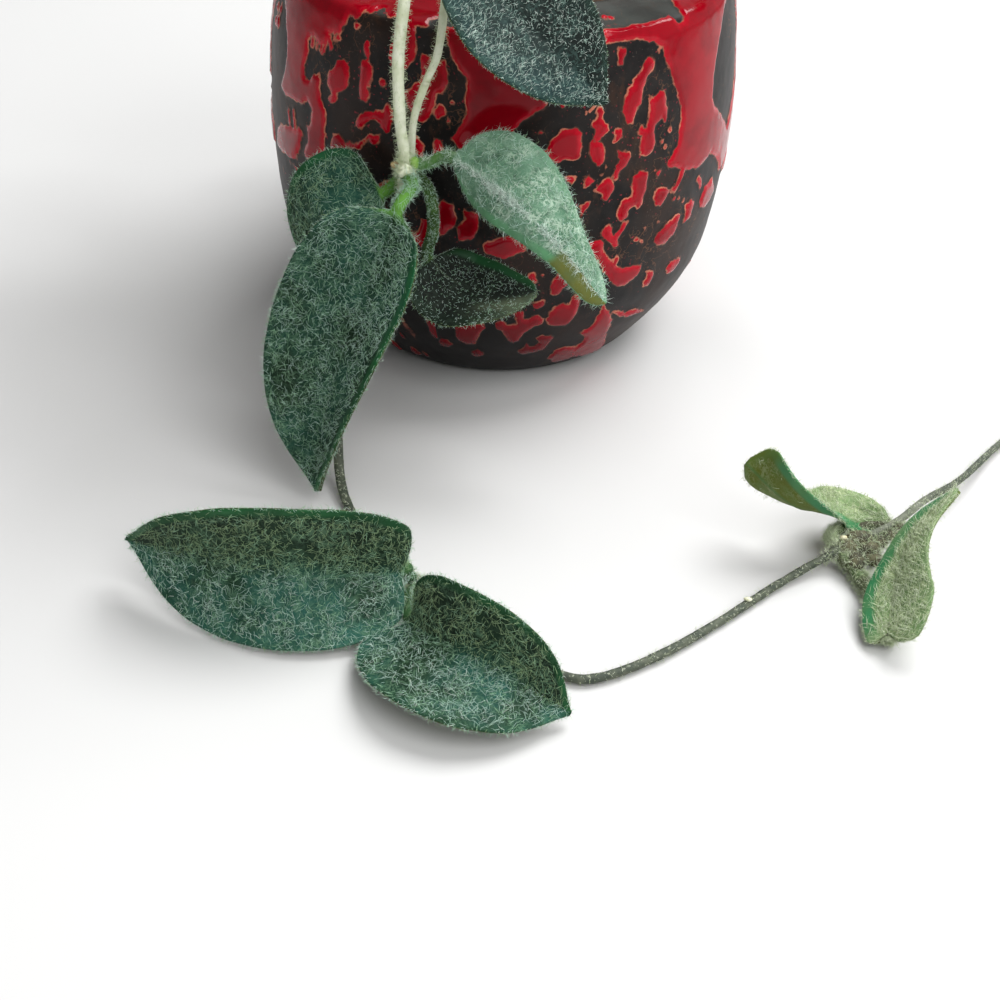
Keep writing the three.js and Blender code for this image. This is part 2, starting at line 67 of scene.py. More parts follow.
STEM_FOOT = 77.4
NODE_SWELLING = 0.9
NODE_REACH = 3.2
VINES = {
    "long": {
        "points": [
            (-9, -13, STEM_FOOT), (-9, -13, 91), (-9.3, -14, 97), (-12, -24, 112),
            (-17, -42, 120), (-20.3, -58, 115.5), (-20.8, -65, 107.5), (-21.8, -67.2, 96),
            (-21.3, -67.6, 82.5), (-20.2, -67.5, 71.5), (-22, -69, 58), (-28, -74, 38),
            (-33.5, -82, 17), (-33.5, -91, 5.5), (-30, -102.5, 1.5), (-22, -117, 1.4),
            (-12, -130, 2.2), (2, -143, 1.5), (12, -152, 1.3), (20.5, -156.3, 1.3),
            (28, -156, 1.3), (40.6, -148.2, 1.3), (54, -136.5, 1.3), (68.7, -122.5, 1.7),
            (82, -113.3, 4.2), (95.5, -106.1, 7.5), (104.4, -96.8, 8), (115.6, -84.3, 5.5),
            (131, -62, 1.8), (146, -45, 1.3), (158, -36, 2.2), (164, -32, 3.4),
        ],
        "nodes": [9, 16, 24, 30],
        "radius": (1.45, 0.75),
    },
    "short": {
        "points": [
            (-1, -15, STEM_FOOT), (-1, -15, 91), (-1.3, -16, 97), (-4, -26, 110),
            (-8.5, -44, 118), (-11.6, -56.5, 114), (-12.3, -62, 107), (-13.4, -64, 97),
            (-15.8, -64.6, 90.5), (-18.4, -63.6, 82), (-19, -62.6, 74), (-19, -62.2, 69),
            (-18.4, -59.8, 65.6),
        ],
        "nodes": [11],
        "radius": (1.15, 0.8),
    },
    "crown": {
        "points": [
            (7, -9, STEM_FOOT), (7, -9, 92), (7, -9.6, 99), (5, -18, 121), (-2, -33, 138),
            (-9, -47, 140), (-14, -56, 132), (-20, -61, 126), (-27, -64, 124),
        ],
        "nodes": [6],
        "radius": (1.35, 0.7),
    },
    "right": {
        "points": [
            (15, 3, STEM_FOOT), (15, 3, 92), (15.5, 3.3, 99), (21, 7, 121), (31, 11, 138),
            (42, 15, 143), (52, 18.5, 139), (61, 22, 130), (66, 24, 122),
        ],
        "nodes": [5, 7],
        "radius": (1.4, 0.7),
    },
    "left": {
        "points": [
            (-16, 4, STEM_FOOT), (-16, 4, 92), (-16.5, 4.3, 99), (-23, 8, 119),
            (-33, 12, 135), (-44, 15, 140), (-54, 18, 136), (-62, 20, 128), (-67, 21, 121),
        ],
        "nodes": [5, 7],
        "radius": (1.4, 0.7),
    },
    "back": {
        "points": [
            (1, 15, STEM_FOOT), (1, 15, 91), (1, 16, 97), (1.5, 27, 111), (1, 45, 118),
            (0, 60, 112), (-2, 68, 98), (-3, 70, 82), (-2, 70.5, 66), (1, 71, 50),
            (4, 72, 38), (5, 73.5, 28),
        ],
        "nodes": [7, 9],
        "radius": (1.4, 0.7),
    },
}

# Leaves

STALK_RADIUS = 1.4
LEAST_STALK_SHARE = 0.35
LEAST_THICKNESS_SHARE = 0.55
FULL_LEAF_WIDTH = 18
LEAF_THICKNESS = 1.8
EDGE_THICKNESS_SHARE = 0.45
# A blade's outline, as shares of its length and of its half width there
OUTLINES = {
    "grown": [
        (0, 0.14), (0.018, 0.44), (0.06, 0.69), (0.14, 0.88), (0.26, 0.98), (0.4, 1),
        (0.54, 0.96), (0.67, 0.84), (0.79, 0.64), (0.88, 0.41), (0.95, 0.18), (1, 0.03),
    ],
    "rolled": [
        (0, 0.12), (0.03, 0.45), (0.09, 0.75), (0.18, 0.95), (0.3, 1), (0.43, 0.9),
        (0.57, 0.72), (0.7, 0.57), (0.82, 0.5), (0.91, 0.43), (0.97, 0.28), (1, 0.06),
    ],
    "blunt": [
        (0, 0.14), (0.018, 0.44), (0.06, 0.69), (0.14, 0.88), (0.26, 0.98), (0.4, 1),
        (0.54, 0.96), (0.67, 0.85), (0.79, 0.69), (0.88, 0.53), (0.955, 0.35), (1, 0.08),
    ],
    "lobed": [
        (0, 0.16), (0.01, 0.42), (0.035, 0.64), (0.08, 0.83), (0.14, 0.95), (0.21, 1),
        (0.33, 0.93), (0.48, 0.74), (0.62, 0.6), (0.78, 0.48), (0.9, 0.32), (1, 0.08),
    ],
    "spoon": [
        (0, 0.2), (0.05, 0.5), (0.15, 0.75), (0.3, 0.85), (0.45, 0.8), (0.6, 0.82),
        (0.75, 0.95), (0.88, 1), (0.95, 0.8), (1, 0.2),
    ],
}
# Each leaf in view. vine, node, stalk, blade, right, half, fold, cup and twist place it and
# bend its blade as in the imported model, but leaf_long_2 and leaf_long_6 have their stalk and
# the start of their blade moved by up to 3 mm. outline names its form, and lobes and notch
# shape the parts on either side of the stalk. look names its skin, margin and band give the
# bare margin's strength left and right and its width, cool gives the side painted bluish and
# lighter as sky light, the other side painted darker as shade, olive says where the olive tint
# sets in and pale_from where a painted pale sheen sets in. The rest says how its hairs grow.
PLACED_LEAVES = {
    "leaf_long_1": {
        "vine": "long", "node": 9, "stalk": [(-14.5, -67.6, 72.8)],
        "blade": [(-9, -70.5, 75.5), (4, -82, 73), (15.5, -88.5, 65), (26, -87.5, 50.5)],
        "right": (-0.65, -0.47, -0.6), "half": (12.6, 8.2), "fold": (21, -38), "cup": -23,
        "twist": 54, "outline": "rolled", "look": "greyed", "margin": (0.1, 1.0), "band": 2.4,
        "olive": (0.57, 0.0), "crease": 1, "tone": 0.6, "fringe": 2.6,
    },
    "leaf_long_2": {
        "vine": "long", "node": 9, "stalk": [(-18.0, -73.6, 69.4)],
        "blade": [(-21, -80.2, 66.5), (-29, -85.5, 45.5), (-35, -93, 25), (-37.5, -100.5, 4)],
        "right": (-0.94, 0.32, 0.13), "half": (18, 18.4), "fold": (20, 20), "cup": 29,
        "twist": -25, "look": "bright_stalk", "margin": (0.95, 0.0), "band": 2.2,
        "tone": 0.5, "stalk_fuzz": 1.8,
    },
    "leaf_long_3": {
        "vine": "long", "node": 16, "stalk": [(-16, -131.5, 8)],
        "blade": [(-15, -138, 12), (-36, -143.5, 14), (-55.5, -140, 13), (-74.5, -131, 11.5)],
        "right": (0.04, 0.41, 0.91), "half": (16, 17.9), "fold": (13, 13), "cup": 16,
        "twist": 17, "margin": (0.1, 0.75), "band": 1.8, "cool": -1, "lobes": (3, 4.5),
    },
    "leaf_long_4": {
        "vine": "long", "node": 16, "stalk": [(-13.4, -137, 3.4)],
        "blade": [(-11.6, -148, 6.2), (-4, -158.5, 10), (8.5, -165, 9), (21.5, -169, 3)],
        "right": (-0.48, -0.61, -0.63), "half": (14.1, 17.6), "fold": (20, 18), "cup": 26,
        "twist": 0, "margin": (0.55, 0.1), "band": 1.6, "cool": 1, "lobes": (2.5, 7),
    },
    "leaf_long_5": {
        "vine": "long", "node": 24, "stalk": [(81.8, -108.2, 4.6), (85.8, -104.2, 4.6)],
        "blade": [(95.5, -102.2, 4.6), (83, -100.5, 8), (72, -110, 14.5), (60.5, -102.5, 20)],
        "right": (0.32, 0.57, 0.76), "half": (7.7, 5.4), "fold": (4, 14), "cup": 4,
        "twist": -158, "outline": "spoon", "look": "young", "margin": (1.0, 0.0),
        "band": 2.4, "stalk_fuzz": 6, "young": 1, "under": 0.04, "dense": 2.4, "comb": 1,
    },
    "leaf_long_6": {
        "vine": "long", "node": 24, "stalk": [(86.5, -119.5, 2.4), (90, -132.6, 1.9)],
        "blade": [(89.9, -140.3, 3.6), (92.5, -129, 8), (97, -119, 15), (106, -111.5, 22)],
        "right": (0.72, -0.6, 0.34), "half": (6.9, 10.7), "fold": (13, 16), "cup": -1,
        "twist": 21, "outline": "lobed", "lobes": (5.6, 5.6), "notch": 0.4, "look": "young",
        "margin": (1.0, 0.1), "band": 3.0, "stalk_fuzz": 6, "young": 1, "under": 0.3,
        "dense": 2.4, "comb": 0.8,
    },
    "leaf_short_1": {
        "vine": "short", "node": 11, "stalk": [],
        "blade": [(-25.5, -63.5, 62.5), (-36, -64.5, 57), (-41, -62.5, 48), (-43, -59.5, 37)],
        "right": (-0.39, 0.82, 0.42), "half": (11.7, 15.5), "fold": (11, 9), "cup": 12,
        "twist": 0, "look": "bright_stalk", "margin": (0.1, 0.6), "band": 2.2,
    },
    "leaf_short_2": {
        "vine": "short", "node": 11, "stalk": [(-14.6, -65, 64), (-13.6, -66.5, 56)],
        "blade": [(-14.5, -67.5, 48.5), (-7, -71, 43.5), (1.5, -74, 44), (11, -75.5, 45.5)],
        "right": (-0.31, -0.87, -0.37), "half": (10.3, 14.1), "fold": (5, 6), "cup": 4,
        "twist": 11, "outline": "blunt", "look": "shaded", "margin": (1.0, 0.1),
        "band": 3.2, "dense": 0.9, "hair": 0.8, "fringe": 1.8, "tone": 0.6,
        "pale_from": (0.45, 0.2), "stalk_fuzz": 2.5,
    },
    "leaf_crown_1": {
        "vine": "crown", "node": 6, "stalk": [(-11.2, -59.2, 127.5)],
        "blade": [(-11, -61.5, 120.5), (-0.5, -63, 108.5), (11.5, -67, 99.5), (23.5, -70.5, 90)],
        "right": (-0.5, -0.81, -0.32), "half": (15.9, 18.1), "fold": (9, 11), "cup": 14,
        "twist": -17, "look": "teal", "margin": (0.1, 0.1), "cool": 1, "hair": 1.4,
        "dense": 1.25, "rise": (1.6, 3.0), "curl": 0.3, "tone": 0.8,
    },
}
LEAF_DEFAULTS = {
    "outline": "grown", "look": "grown", "lobes": (0, 0), "notch": 1, "margin": (0.2, 0.2),
    "band": 1.7, "cool": 0, "young": 0, "crease": 0, "comb": 0, "dense": 1, "curl": 1.3,
    "rise": (0.25, 1.0), "stalk_fuzz": 0.7,
}
# Leaves out of view: vine, node, azimuth, rise, stalk, length, half width, droop and lean,
# the angles in degrees
FREE_LEAVES = {
    "leaf_long_7": ("long", 30, 95, 30, 4, 15, 4, 20, 0),
    "leaf_long_8": ("long", 30, -35, 25, 4, 17, 4.5, 15, 0),
    "leaf_crown_2": ("crown", 6, 188, 22, 9, 54, 16, 40, 12),
    "leaf_right_1": ("right", 5, 112, 32, 10, 58, 17, 65, 0),
    "leaf_right_2": ("right", 5, -62, 28, 10, 60, 17.5, 60, 5),
    "leaf_right_3": ("right", 7, 62, -5, 9, 52, 15.5, 50, -10),
    "leaf_right_4": ("right", 7, -28, 0, 9, 50, 15, 35, 10),
    "leaf_left_1": ("left", 5, 68, 30, 10, 57, 17, 60, 0),
    "leaf_left_2": ("left", 5, -112, 28, 10, 58, 17, 55, -5),
    "leaf_left_3": ("left", 7, 118, -5, 9, 50, 15, 45, 10),
    "leaf_left_4": ("left", 7, 205, 0, 9, 50, 15, 35, -10),
    "leaf_back_1": ("back", 7, 158, -25, 9, 54, 16, 50, 25),
    "leaf_back_2": ("back", 7, 20, -22, 9, 52, 15.5, 50, -25),
    "leaf_back_3": ("back", 9, 135, -15, 8, 42, 13, 45, 10),
    "leaf_back_4": ("back", 9, 48, -15, 8, 44, 13.5, 45, -10),
}
YOUNG_FREE_LEAVES = ("leaf_long_7", "leaf_long_8")

# Leaf skins: dark and light green, the cool side's colour, painted as sky light and on
# leaf_short_2 as a pale sheen, the underside, the bare margin, the stalk and the fuzz, then
# how much the fuzz and the dark speckle cover. The shaded skin is darker all over as painted
# shade.
SKINS = {
    "grown": (
        [(6, 24, 11), (16, 48, 27), (42, 98, 88), (66, 78, 36), (36, 108, 58), (50, 88, 46),
         (112, 150, 118)], 0.5, 0.55,
    ),
    "bright_stalk": (
        [(6, 24, 11), (16, 48, 27), (42, 98, 88), (66, 78, 36), (36, 108, 58), (102, 158, 64),
         (112, 150, 118)], 0.5, 0.55,
    ),
    "greyed": (
        [(62, 100, 74), (96, 138, 110), (118, 158, 134), (104, 108, 44), (106, 172, 120),
         (84, 128, 62), (204, 224, 204)], 0.55, 0.55,
    ),
    "shaded": (
        [(3, 11, 6), (9, 20, 12), (92, 102, 80), (72, 84, 40), (34, 92, 52), (66, 96, 46),
         (84, 104, 86)], 0.2, 0.55,
    ),
    "teal": (
        [(3, 16, 13), (9, 30, 27), (20, 48, 48), (66, 78, 36), (30, 88, 50), (104, 150, 62),
         (104, 142, 132)], 0.2, 0.55,
    ),
    "young": (
        [(92, 126, 76), (124, 152, 102), (146, 162, 120), (88, 98, 26), (40, 126, 84),
         (66, 66, 50), (198, 206, 166)], 0.6, 0.15,
    ),
}
# Hair tints, each list from its first tone to its last
GREEN_HAIRS = {
    "olive": (150, 178, 132), "green": (158, 200, 164), "bluish": (192, 222, 208),
    "white": (226, 240, 230),
}
CREAM_HAIRS = {"straw": (196, 212, 170), "cream": (222, 230, 204)}

# Buds and scales on the nodes: place, half sizes and tint, from 0 green over 0.4 pale to 1
# brown
BUDS = [
    ((-18.0, -68.5, 72.8), (1.1, 1.1, 1.6), 0),
    ((-22.3, -68.7, 72.4), (1.0, 0.8, 0.8), 1),
    ((-20.2, -70.2, 71.7), (2.0, 1.8, 1.7), 0.45),
    ((-15.8, -65.4, 90.4), (0.8, 0.7, 0.6), 0.5),
    ((83.6, -111.2, 6.6), (0.9, 0.7, 0.6), 0.7),
    ((60.6, -130.0, 2.7), (0.9, 0.6, 0.4), 0.6),
]
SHAGGY_BUD = 2  # the bud that has a coat of hairs as the knots have
# Dark shaggy knots where the young leaves' stalks leave their node: place and half sizes
KNOTS = [
    ((84.6, -112.2, 4.8), (2.8, 2.4, 2.0)), ((87.6, -110.2, 5.9), (3.4, 2.3, 1.8)),
    ((86.0, -115.8, 3.9), (2.1, 3.2, 1.9)), ((89.2, -112.4, 5.2), (2.6, 2.6, 1.7)),
    ((92.0, -110.6, 5.6), (2.0, 1.7, 1.3)), ((94.6, -108.9, 6.3), (1.9, 1.5, 1.2)),
    ((97.2, -107.2, 7.2), (1.8, 1.4, 1.1)), ((90.0, -115.2, 4.2), (2.2, 2.5, 1.6)),
]

# Raised red glaze on the pot's front, each patch by its corners: degrees round from the
# front, and millimetres up along the wall from the foot.

PATCHES = [
    # The band along the shoulder's edge and the broad drip on the right
    [(25, 104.3), (33, 104.2), (38, 102.8), (41, 101), (42.5, 96), (44.5, 91), (47, 86.5),
     (47.2, 82), (46.6, 77.5), (45, 74.8), (43.3, 72.8), (44.5, 71.3), (47.2, 70.3),
     (48.8, 69.3), (53, 67.8), (58, 67.6), (62, 69), (67, 66), (72, 60), (77, 62),
     (77, 68), (68, 76), (62.5, 80), (60, 84), (60.3, 89), (62.5, 95), (66, 100),
     (69, 104), (77, 106), (77, 107.6), (66, 108), (64, 111), (59, 113), (53, 112.5),
     (50.5, 110), (49.5, 107.6), (48.6, 105.4), (46.3, 105), (45, 107.6), (25, 107.6)],
    # The broad red field on the left
    [(-67, 100), (-65, 97), (-62.5, 93), (-61.5, 89), (-62, 85), (-64, 81.5), (-65, 79),
     (-62, 78.3), (-58, 79), (-53, 79.5), (-50.5, 81.2), (-48.5, 79.5), (-49, 76),
     (-50.7, 74.8), (-50, 72), (-51, 70), (-52.3, 67), (-48, 64), (-44, 68), (-43.8, 76),
     (-43.4, 80), (-44.5, 82.3), (-46, 83.7), (-46.2, 88.6), (-48, 88), (-49.5, 86.3),
     (-51.5, 85.5), (-52.7, 86.5), (-52.1, 90), (-51.5, 94), (-51.5, 96.5), (-50, 97),
     (-48.8, 96.4), (-47.3, 95.8), (-45, 96.4), (-44, 98), (-44.6, 99.6), (-42.8, 99.7),
     (-41, 100.5), (-40, 101.5), (-39.3, 103), (-39, 105), (-36.5, 104.9), (-35.5, 106),
     (-35.2, 108), (-34.5, 107.2), (-33.3, 107.3), (-32.3, 109.7), (-31, 109.9),
     (-29, 108.3), (-28, 107.3), (-27.1, 107.8), (-26.5, 109.5), (-25, 110.3),
     (-23.5, 108.3), (-22, 107), (-20.5, 106.3), (-19.3, 106.6), (-17.7, 107.5),
     (-18.2, 109.5), (-16.8, 111), (-15, 112.5), (-14, 115), (-20, 116.3), (-27, 116),
     (-33, 118), (-45, 116), (-60, 113), (-77, 109), (-77, 104)],
    # The dark red drip in the middle
    [(-12.5, 104.5), (-11, 101.3), (-9, 98.5), (-7, 96), (-6.7, 94), (-7.3, 91), (-7, 89),
     (-7.6, 86.5), (-8.8, 84), (-9.8, 82.3), (-8.5, 80.5), (-5, 79), (0, 80), (3, 84.5),
     (5, 87), (6, 88.4), (7.2, 88.6), (8.2, 90), (10, 90.4), (11.3, 93), (14, 97),
     (18, 101), (25, 104.3), (25, 107.6), (-13, 108)],
    [(-26, 101.3), (-25.2, 102), (-22, 106.8), (-20.2, 106.3), (-19.8, 102.5),
     (-20.2, 99.5), (-21.5, 97), (-24.5, 96.5), (-26, 98)],
    [(-18.2, 100.2), (-16.5, 100.3), (-15, 99), (-12.8, 100), (-12.3, 98), (-11.5, 95.5),
     (-12.3, 93), (-14, 92.5), (-14.8, 88), (-16.5, 85.7), (-18.5, 86), (-20.5, 88.5),
     (-21.5, 91), (-19, 93.5), (-17.5, 94.5), (-18, 97.5)],
    [(-69, 66.5), (-65, 69), (-58, 71), (-54.5, 72.5), (-52, 71.5), (-53.5, 69),
     (-55, 66), (-58, 63), (-64, 62), (-70, 61)],
    [(-40.5, 93.2), (-38.5, 94.6), (-37.3, 94), (-37, 92.3), (-36.3, 90.5), (-36.8, 88.6),
     (-38.5, 87.3), (-40, 86.5), (-40.5, 84.5), (-41.7, 83.4), (-42.5, 84.2),
     (-41.8, 86), (-43, 88), (-43.2, 90)],
    [(-33.2, 95.6), (-31.5, 96), (-30.2, 95.3), (-30.3, 92), (-30.8, 90), (-30.6, 88),
     (-31.3, 86.5), (-32.6, 87), (-33, 90), (-33.2, 93)],
    [(-34, 80.5), (-33.3, 82.5), (-31, 84.5), (-28.5, 85.3), (-26.5, 85.5), (-26, 87.5),
     (-24.5, 87), (-24.2, 84), (-24.5, 81.5), (-26, 81), (-27.2, 83), (-29, 83.5),
     (-31, 82), (-33, 80.2)],
    [(-30.5, 79.5), (-28.5, 80), (-27, 80), (-27.3, 78.5), (-28.8, 77), (-30, 77.5)],
    [(-41, 76.3), (-39, 77), (-37.8, 76), (-37.2, 74.3), (-38.5, 72.6), (-41, 72.4),
     (-41.5, 74.3)],
    [(-27.3, 67), (-26, 69), (-24.6, 69), (-24.8, 67), (-26, 66)],
    [(-19.7, 79), (-19.3, 81.7), (-17.3, 81.6), (-16.4, 80), (-16.5, 77.2), (-18, 77.2)],
    [(-14, 81.8), (-12.5, 81.8), (-12, 80.5), (-12.3, 79), (-13.3, 78), (-13.8, 79.8)],
    [(-14.3, 88.3), (-12.8, 90), (-11.8, 89.5), (-12, 87.3), (-13.3, 86.3)],
    [(11.2, 80.6), (12, 82.7), (14.5, 85), (17.6, 85.9), (18.9, 84.5), (19.4, 81.5),
     (19, 78.6), (17.8, 78), (15, 78.4), (13.5, 77.8)],
    [(22.6, 90), (23.8, 90.2), (24.3, 88.7), (23.8, 87.5), (25.3, 86), (25.4, 84.3),
     (23.8, 83.2), (22.7, 82.3), (22, 83.3), (22.2, 85.3), (21.5, 86), (23, 87.6)],
    [(21.7, 82), (23.3, 82), (24.2, 81), (24.7, 79), (24.5, 76.6), (23.5, 76.3),
     (22.3, 77.3), (21.3, 79.3)],
    [(27.4, 84.5), (28.8, 84.2), (29, 82.6), (27.8, 81.6), (26.8, 81.3), (27.5, 82.8)],
    [(28.2, 102.8), (29.8, 102.8), (29.3, 98.8), (27.9, 98.9)],
    [(34, 97), (35, 98.8), (36.6, 99.1), (37.8, 98), (37.6, 97), (36.2, 96.4),
     (35.2, 95), (34.6, 92), (34, 89.5), (32.5, 87.3), (31.9, 85.2), (30.6, 85.3),
     (29.3, 87.6), (29.2, 90), (30.1, 92.2), (30.4, 93.6), (32, 94), (32.3, 95.4)],
    [(36.5, 90.5), (37.6, 90), (39.2, 91.3), (40.7, 90.6), (41.3, 88), (41.9, 85.5),
     (41.6, 83), (40.8, 83.2), (40, 84.3), (38.3, 83.5), (38.2, 81.8), (38.7, 79),
     (38, 77), (36, 76.2), (34.3, 77.3), (34.2, 79.5), (34.6, 81.6), (33.4, 82.6),
     (34.6, 83.8), (36, 83), (36.7, 85.8), (36.9, 88.5)],
    [(28.2, 78.6), (29.5, 78.2), (31, 78.6), (31.5, 77.2), (30.8, 75.3), (29.3, 74),
     (28.8, 72), (27.8, 71.8), (27.3, 73), (28.4, 74.3), (28.8, 76)],
    [(25.5, 72.8), (26.5, 72.2), (27.8, 71), (28.4, 69.7), (27.5, 68.5), (26.7, 66.9),
     (25.8, 67.3), (25.3, 68.5), (24, 69.5), (22.8, 70), (24.3, 70.8)],
    [(16.2, 73.7), (18.8, 73.7), (17.6, 72.2)],
    [(20.3, 73.7), (21.5, 73.7), (22.8, 72.8), (21.8, 71.8), (20.5, 71)],
    [(20.3, 66.8), (22, 67.2), (21.7, 66), (20.9, 65), (20.5, 63), (20.2, 64.5)],
    [(33, 71.8), (35.5, 72.4), (37.4, 71.6), (37, 69.5), (36.8, 66.5), (36.3, 64),
     (35.2, 63), (34.8, 64.2), (33.5, 64), (32.7, 63.5), (32.4, 61.5), (31, 60.5),
     (29.9, 61.8), (29.8, 64.5), (30.5, 66.3), (32, 66), (33.3, 66.5), (33.3, 69.5)],
    [(40, 66.2), (42, 66.6), (43.8, 65.8), (45, 65), (44, 63), (42.8, 61.4), (41, 62.2),
     (40.2, 64)],
    [(45.3, 64.6), (46.5, 65.4), (48.6, 69.5), (50, 69), (48.5, 65.8), (47, 63.9)],
    [(39.5, 71.8), (41.5, 71.3), (40.3, 69.7)],
    [(26, 58), (27.6, 60.2), (28.7, 59), (28.8, 57.6), (29.8, 57), (31, 58.5),
     (31.8, 60), (33, 59.6), (31.8, 57.8), (30.7, 55.8), (30.6, 53.6), (29.8, 53.4),
     (29.3, 55), (28, 56), (26.8, 56.7)],
    [(21.8, 54.8), (23, 56.2), (25.3, 56.4), (26.7, 55.2), (27.3, 52.5), (28.5, 50),
     (30.5, 49), (31.2, 50.6), (31.8, 50), (31.2, 47.9), (33.5, 46.4), (37, 46.2),
     (39.5, 45.5), (39.5, 43.7), (38, 42), (35.5, 40.8), (33, 41.5), (30.8, 43.3),
     (29.2, 45.5), (27.5, 48), (25.7, 51), (24.5, 53), (22.3, 53.7)],
    [(42.3, 52.2), (43.5, 53.8), (46.5, 55.7), (49.5, 56.8), (50.8, 56), (50.3, 53.5),
     (49.3, 51.3), (47, 50), (44, 50.2)],
    [(52.5, 58.3), (54.5, 59), (56.5, 57.5), (56, 54), (53.5, 53), (53, 55.5)],
    [(60, 57), (62, 59.8), (66, 60), (70, 56), (66, 53), (61, 54.5)],
    [(42.3, 42.5), (44.5, 42), (45.3, 40), (44.8, 38), (42.5, 37.8), (41.5, 39.3),
     (43, 40.5)],
    [(50.5, 40.5), (53, 42), (55.5, 42), (57, 40.5), (55, 38), (52, 38.8)],
    [(30.3, 36.5), (31.5, 34), (34, 31), (36, 26), (37.5, 21), (40, 16), (43.5, 11),
     (45, 8.5), (42, 7), (36, 7.5), (30, 10), (27.5, 15), (29.5, 19), (29, 22.5),
     (26.5, 25.5), (29, 27), (30, 31)],
    [(21.5, 17), (24, 18.6), (28, 17), (30, 13), (30, 9), (24, 8), (20.5, 12)],
    [(35, 31.5), (40, 29.5), (44, 29), (47, 27), (50, 25.5), (46, 26.5), (41, 27.3),
     (37, 29.5)],
    [(14.8, 34), (16.3, 37.5), (18.5, 38.5), (20.5, 37.8), (20.8, 40.3), (22, 41.5),
     (22.8, 39), (22.6, 35), (22, 32.3), (20.5, 30.5), (18, 31), (16, 32)],
    [(15, 45.5), (16.5, 48), (18.5, 48.5), (19.6, 46), (19, 44.5), (17.5, 43.5),
     (16.5, 41.7), (14.7, 42.5)],
    [(9, 48), (10.5, 48.7), (11, 46), (9.7, 45.5)],
    [(10.8, 39.5), (13.7, 40.6), (13.3, 38.6), (12, 37.7)],
    [(6, 36.5), (8.5, 37.2), (8.7, 34.5), (10.5, 33.7), (11.2, 35.3), (13.7, 34),
     (14.2, 32), (11.5, 31), (9.5, 28.5), (8.5, 25), (7, 24.3), (5.3, 26), (4.2, 29.5),
     (2.2, 30.2), (2, 32.5), (3.4, 33.6), (5, 32), (7, 32.3), (7, 34.5)],
    [(13.8, 26), (15, 27), (17, 26.6), (18, 25), (17.4, 22), (16.8, 19), (14, 17.8),
     (10.5, 17.3), (9, 19.5), (10.5, 21), (11, 23), (12.3, 21.5), (14, 21.5),
     (14.8, 23.5)],
    [(-8.5, 30), (-5, 31.5), (-1.3, 32), (-1, 30.5), (-3, 26.5), (-4, 22.7),
     (-6.5, 22.5), (-8.3, 24), (-8.8, 27)],
    [(-4.7, 17.5), (-3, 19.8), (-1.5, 18), (-1.3, 15.8), (-3.5, 14.5), (-4.8, 15.5)],
    [(-14, 23), (-12, 23), (-10.5, 21), (-12, 19), (-14.5, 19)],
    [(-13, 64), (-11.3, 67), (-9, 66), (-8.3, 63.5), (-9, 60.5), (-12, 58)],
    [(-6.5, 65.5), (-3.5, 64.5), (-3, 61), (-4.8, 57.5), (-7.5, 57), (-7.8, 61),
     (-6, 62.5)],
    [(-2, 57), (3, 59), (8, 58.5), (8, 55.5), (3, 53), (-1, 54.5)],
]
# Small round drops: degrees round, millimetres up, radius
DROPS = [
    (-32.4, 98.4, 0.8), (-31.7, 97, 0.4), (-36, 103.3, 0.7), (-27.3, 92.3, 1),
    (-43, 96.9, 0.6), (-41.2, 99, 0.6), (-10, 91.3, 0.45), (-11, 86.5, 0.55),
    (-13.2, 85, 0.3), (14.5, 91.6, 0.8), (25.8, 75.5, 0.4), (24.6, 73.8, 0.45),
    (43.4, 80.9, 0.6), (40.9, 78.8, 0.45), (42.4, 76.7, 0.45), (36.5, 54, 0.35),
    (37.8, 53.2, 0.3), (38.5, 56.7, 0.35), (42.4, 57.2, 0.3), (47.3, 62, 0.45),
    (48.8, 61.3, 0.35), (51, 60, 0.4), (12.5, 47.7, 0.35), (39.5, 100.2, 0.4),
    (20, 89.2, 0.25), (10, 84.8, 0.3), (-35.5, 75.5, 0.4), (-33.8, 76, 0.4),
    (28, 113, 1), (29.5, 112.2, 0.9), (-71, 93, 1.4), (-73.5, 96, 1.2),
]
# Fine drips on the left: degrees and millimetres of the top, then of the foot, and radius
DRIPS = [
    (-50.3, 97, -50.2, 94.4, 0.4), (-48.9, 96.8, -48.6, 94.2, 0.35),
    (-47.8, 96.5, -47.6, 94.5, 0.35), (-46.7, 96.5, -46.3, 94, 0.4),
    (-45.5, 97, -45.1, 94.4, 0.4), (-43.9, 98.5, -43.3, 95.8, 0.45),
    (-42.5, 100, -42.1, 98, 0.35), (-32.4, 99.6, -32.2, 98, 0.75),
    (-32, 97.6, -31.7, 96.4, 0.45), (-37, 74.5, -33.2, 75.8, 0.5),
    (-33.2, 75.8, -30.5, 78, 0.45), (21, 89.5, 22.5, 91, 0.25),
    (36, 54.4, 38.8, 52.7, 0.35), (62, 74, 63.5, 69, 0.5), (57, 64, 59, 61, 0.6),
    (-57, 76, -56.5, 72, 0.6), (-60, 75, -59.6, 72, 0.45),
]
MM_PER_DEGREE = 1.04  # round the wall, at its widest


# Numbers and curves


def srgb(red, green, blue):
    """Linear colour from 0 to 255 display values."""
    shares = [v / 255 for v in (red, green, blue)]
    return tuple(
        v / 12.92 if v <= 0.04045 else ((v + 0.055) / 1.055) ** 2.4 for v in shares
    )


def smoothstep(low, high, value):
    share = np.clip((value - low) / (high - low), 0, 1)
    return share * share * (3 - 2 * share)


def lattice(ix, iy, iz, seed):
    """A fixed, seemingly random number from -1 to 1 for each whole-number place."""
    h = (
        ix.astype(np.int64) * 374761393
        + iy.astype(np.int64) * 668265263
        + iz.astype(np.int64) * 2246822519
        + seed * 3266489917
    ) & 0xFFFFFFFF
    h = ((h ^ (h >> 15)) * 2246822519) & 0xFFFFFFFF
    h = ((h ^ (h >> 13)) * 3266489917) & 0xFFFFFFFF
    return (h ^ (h >> 16)) / 0xFFFFFFFF * 2 - 1


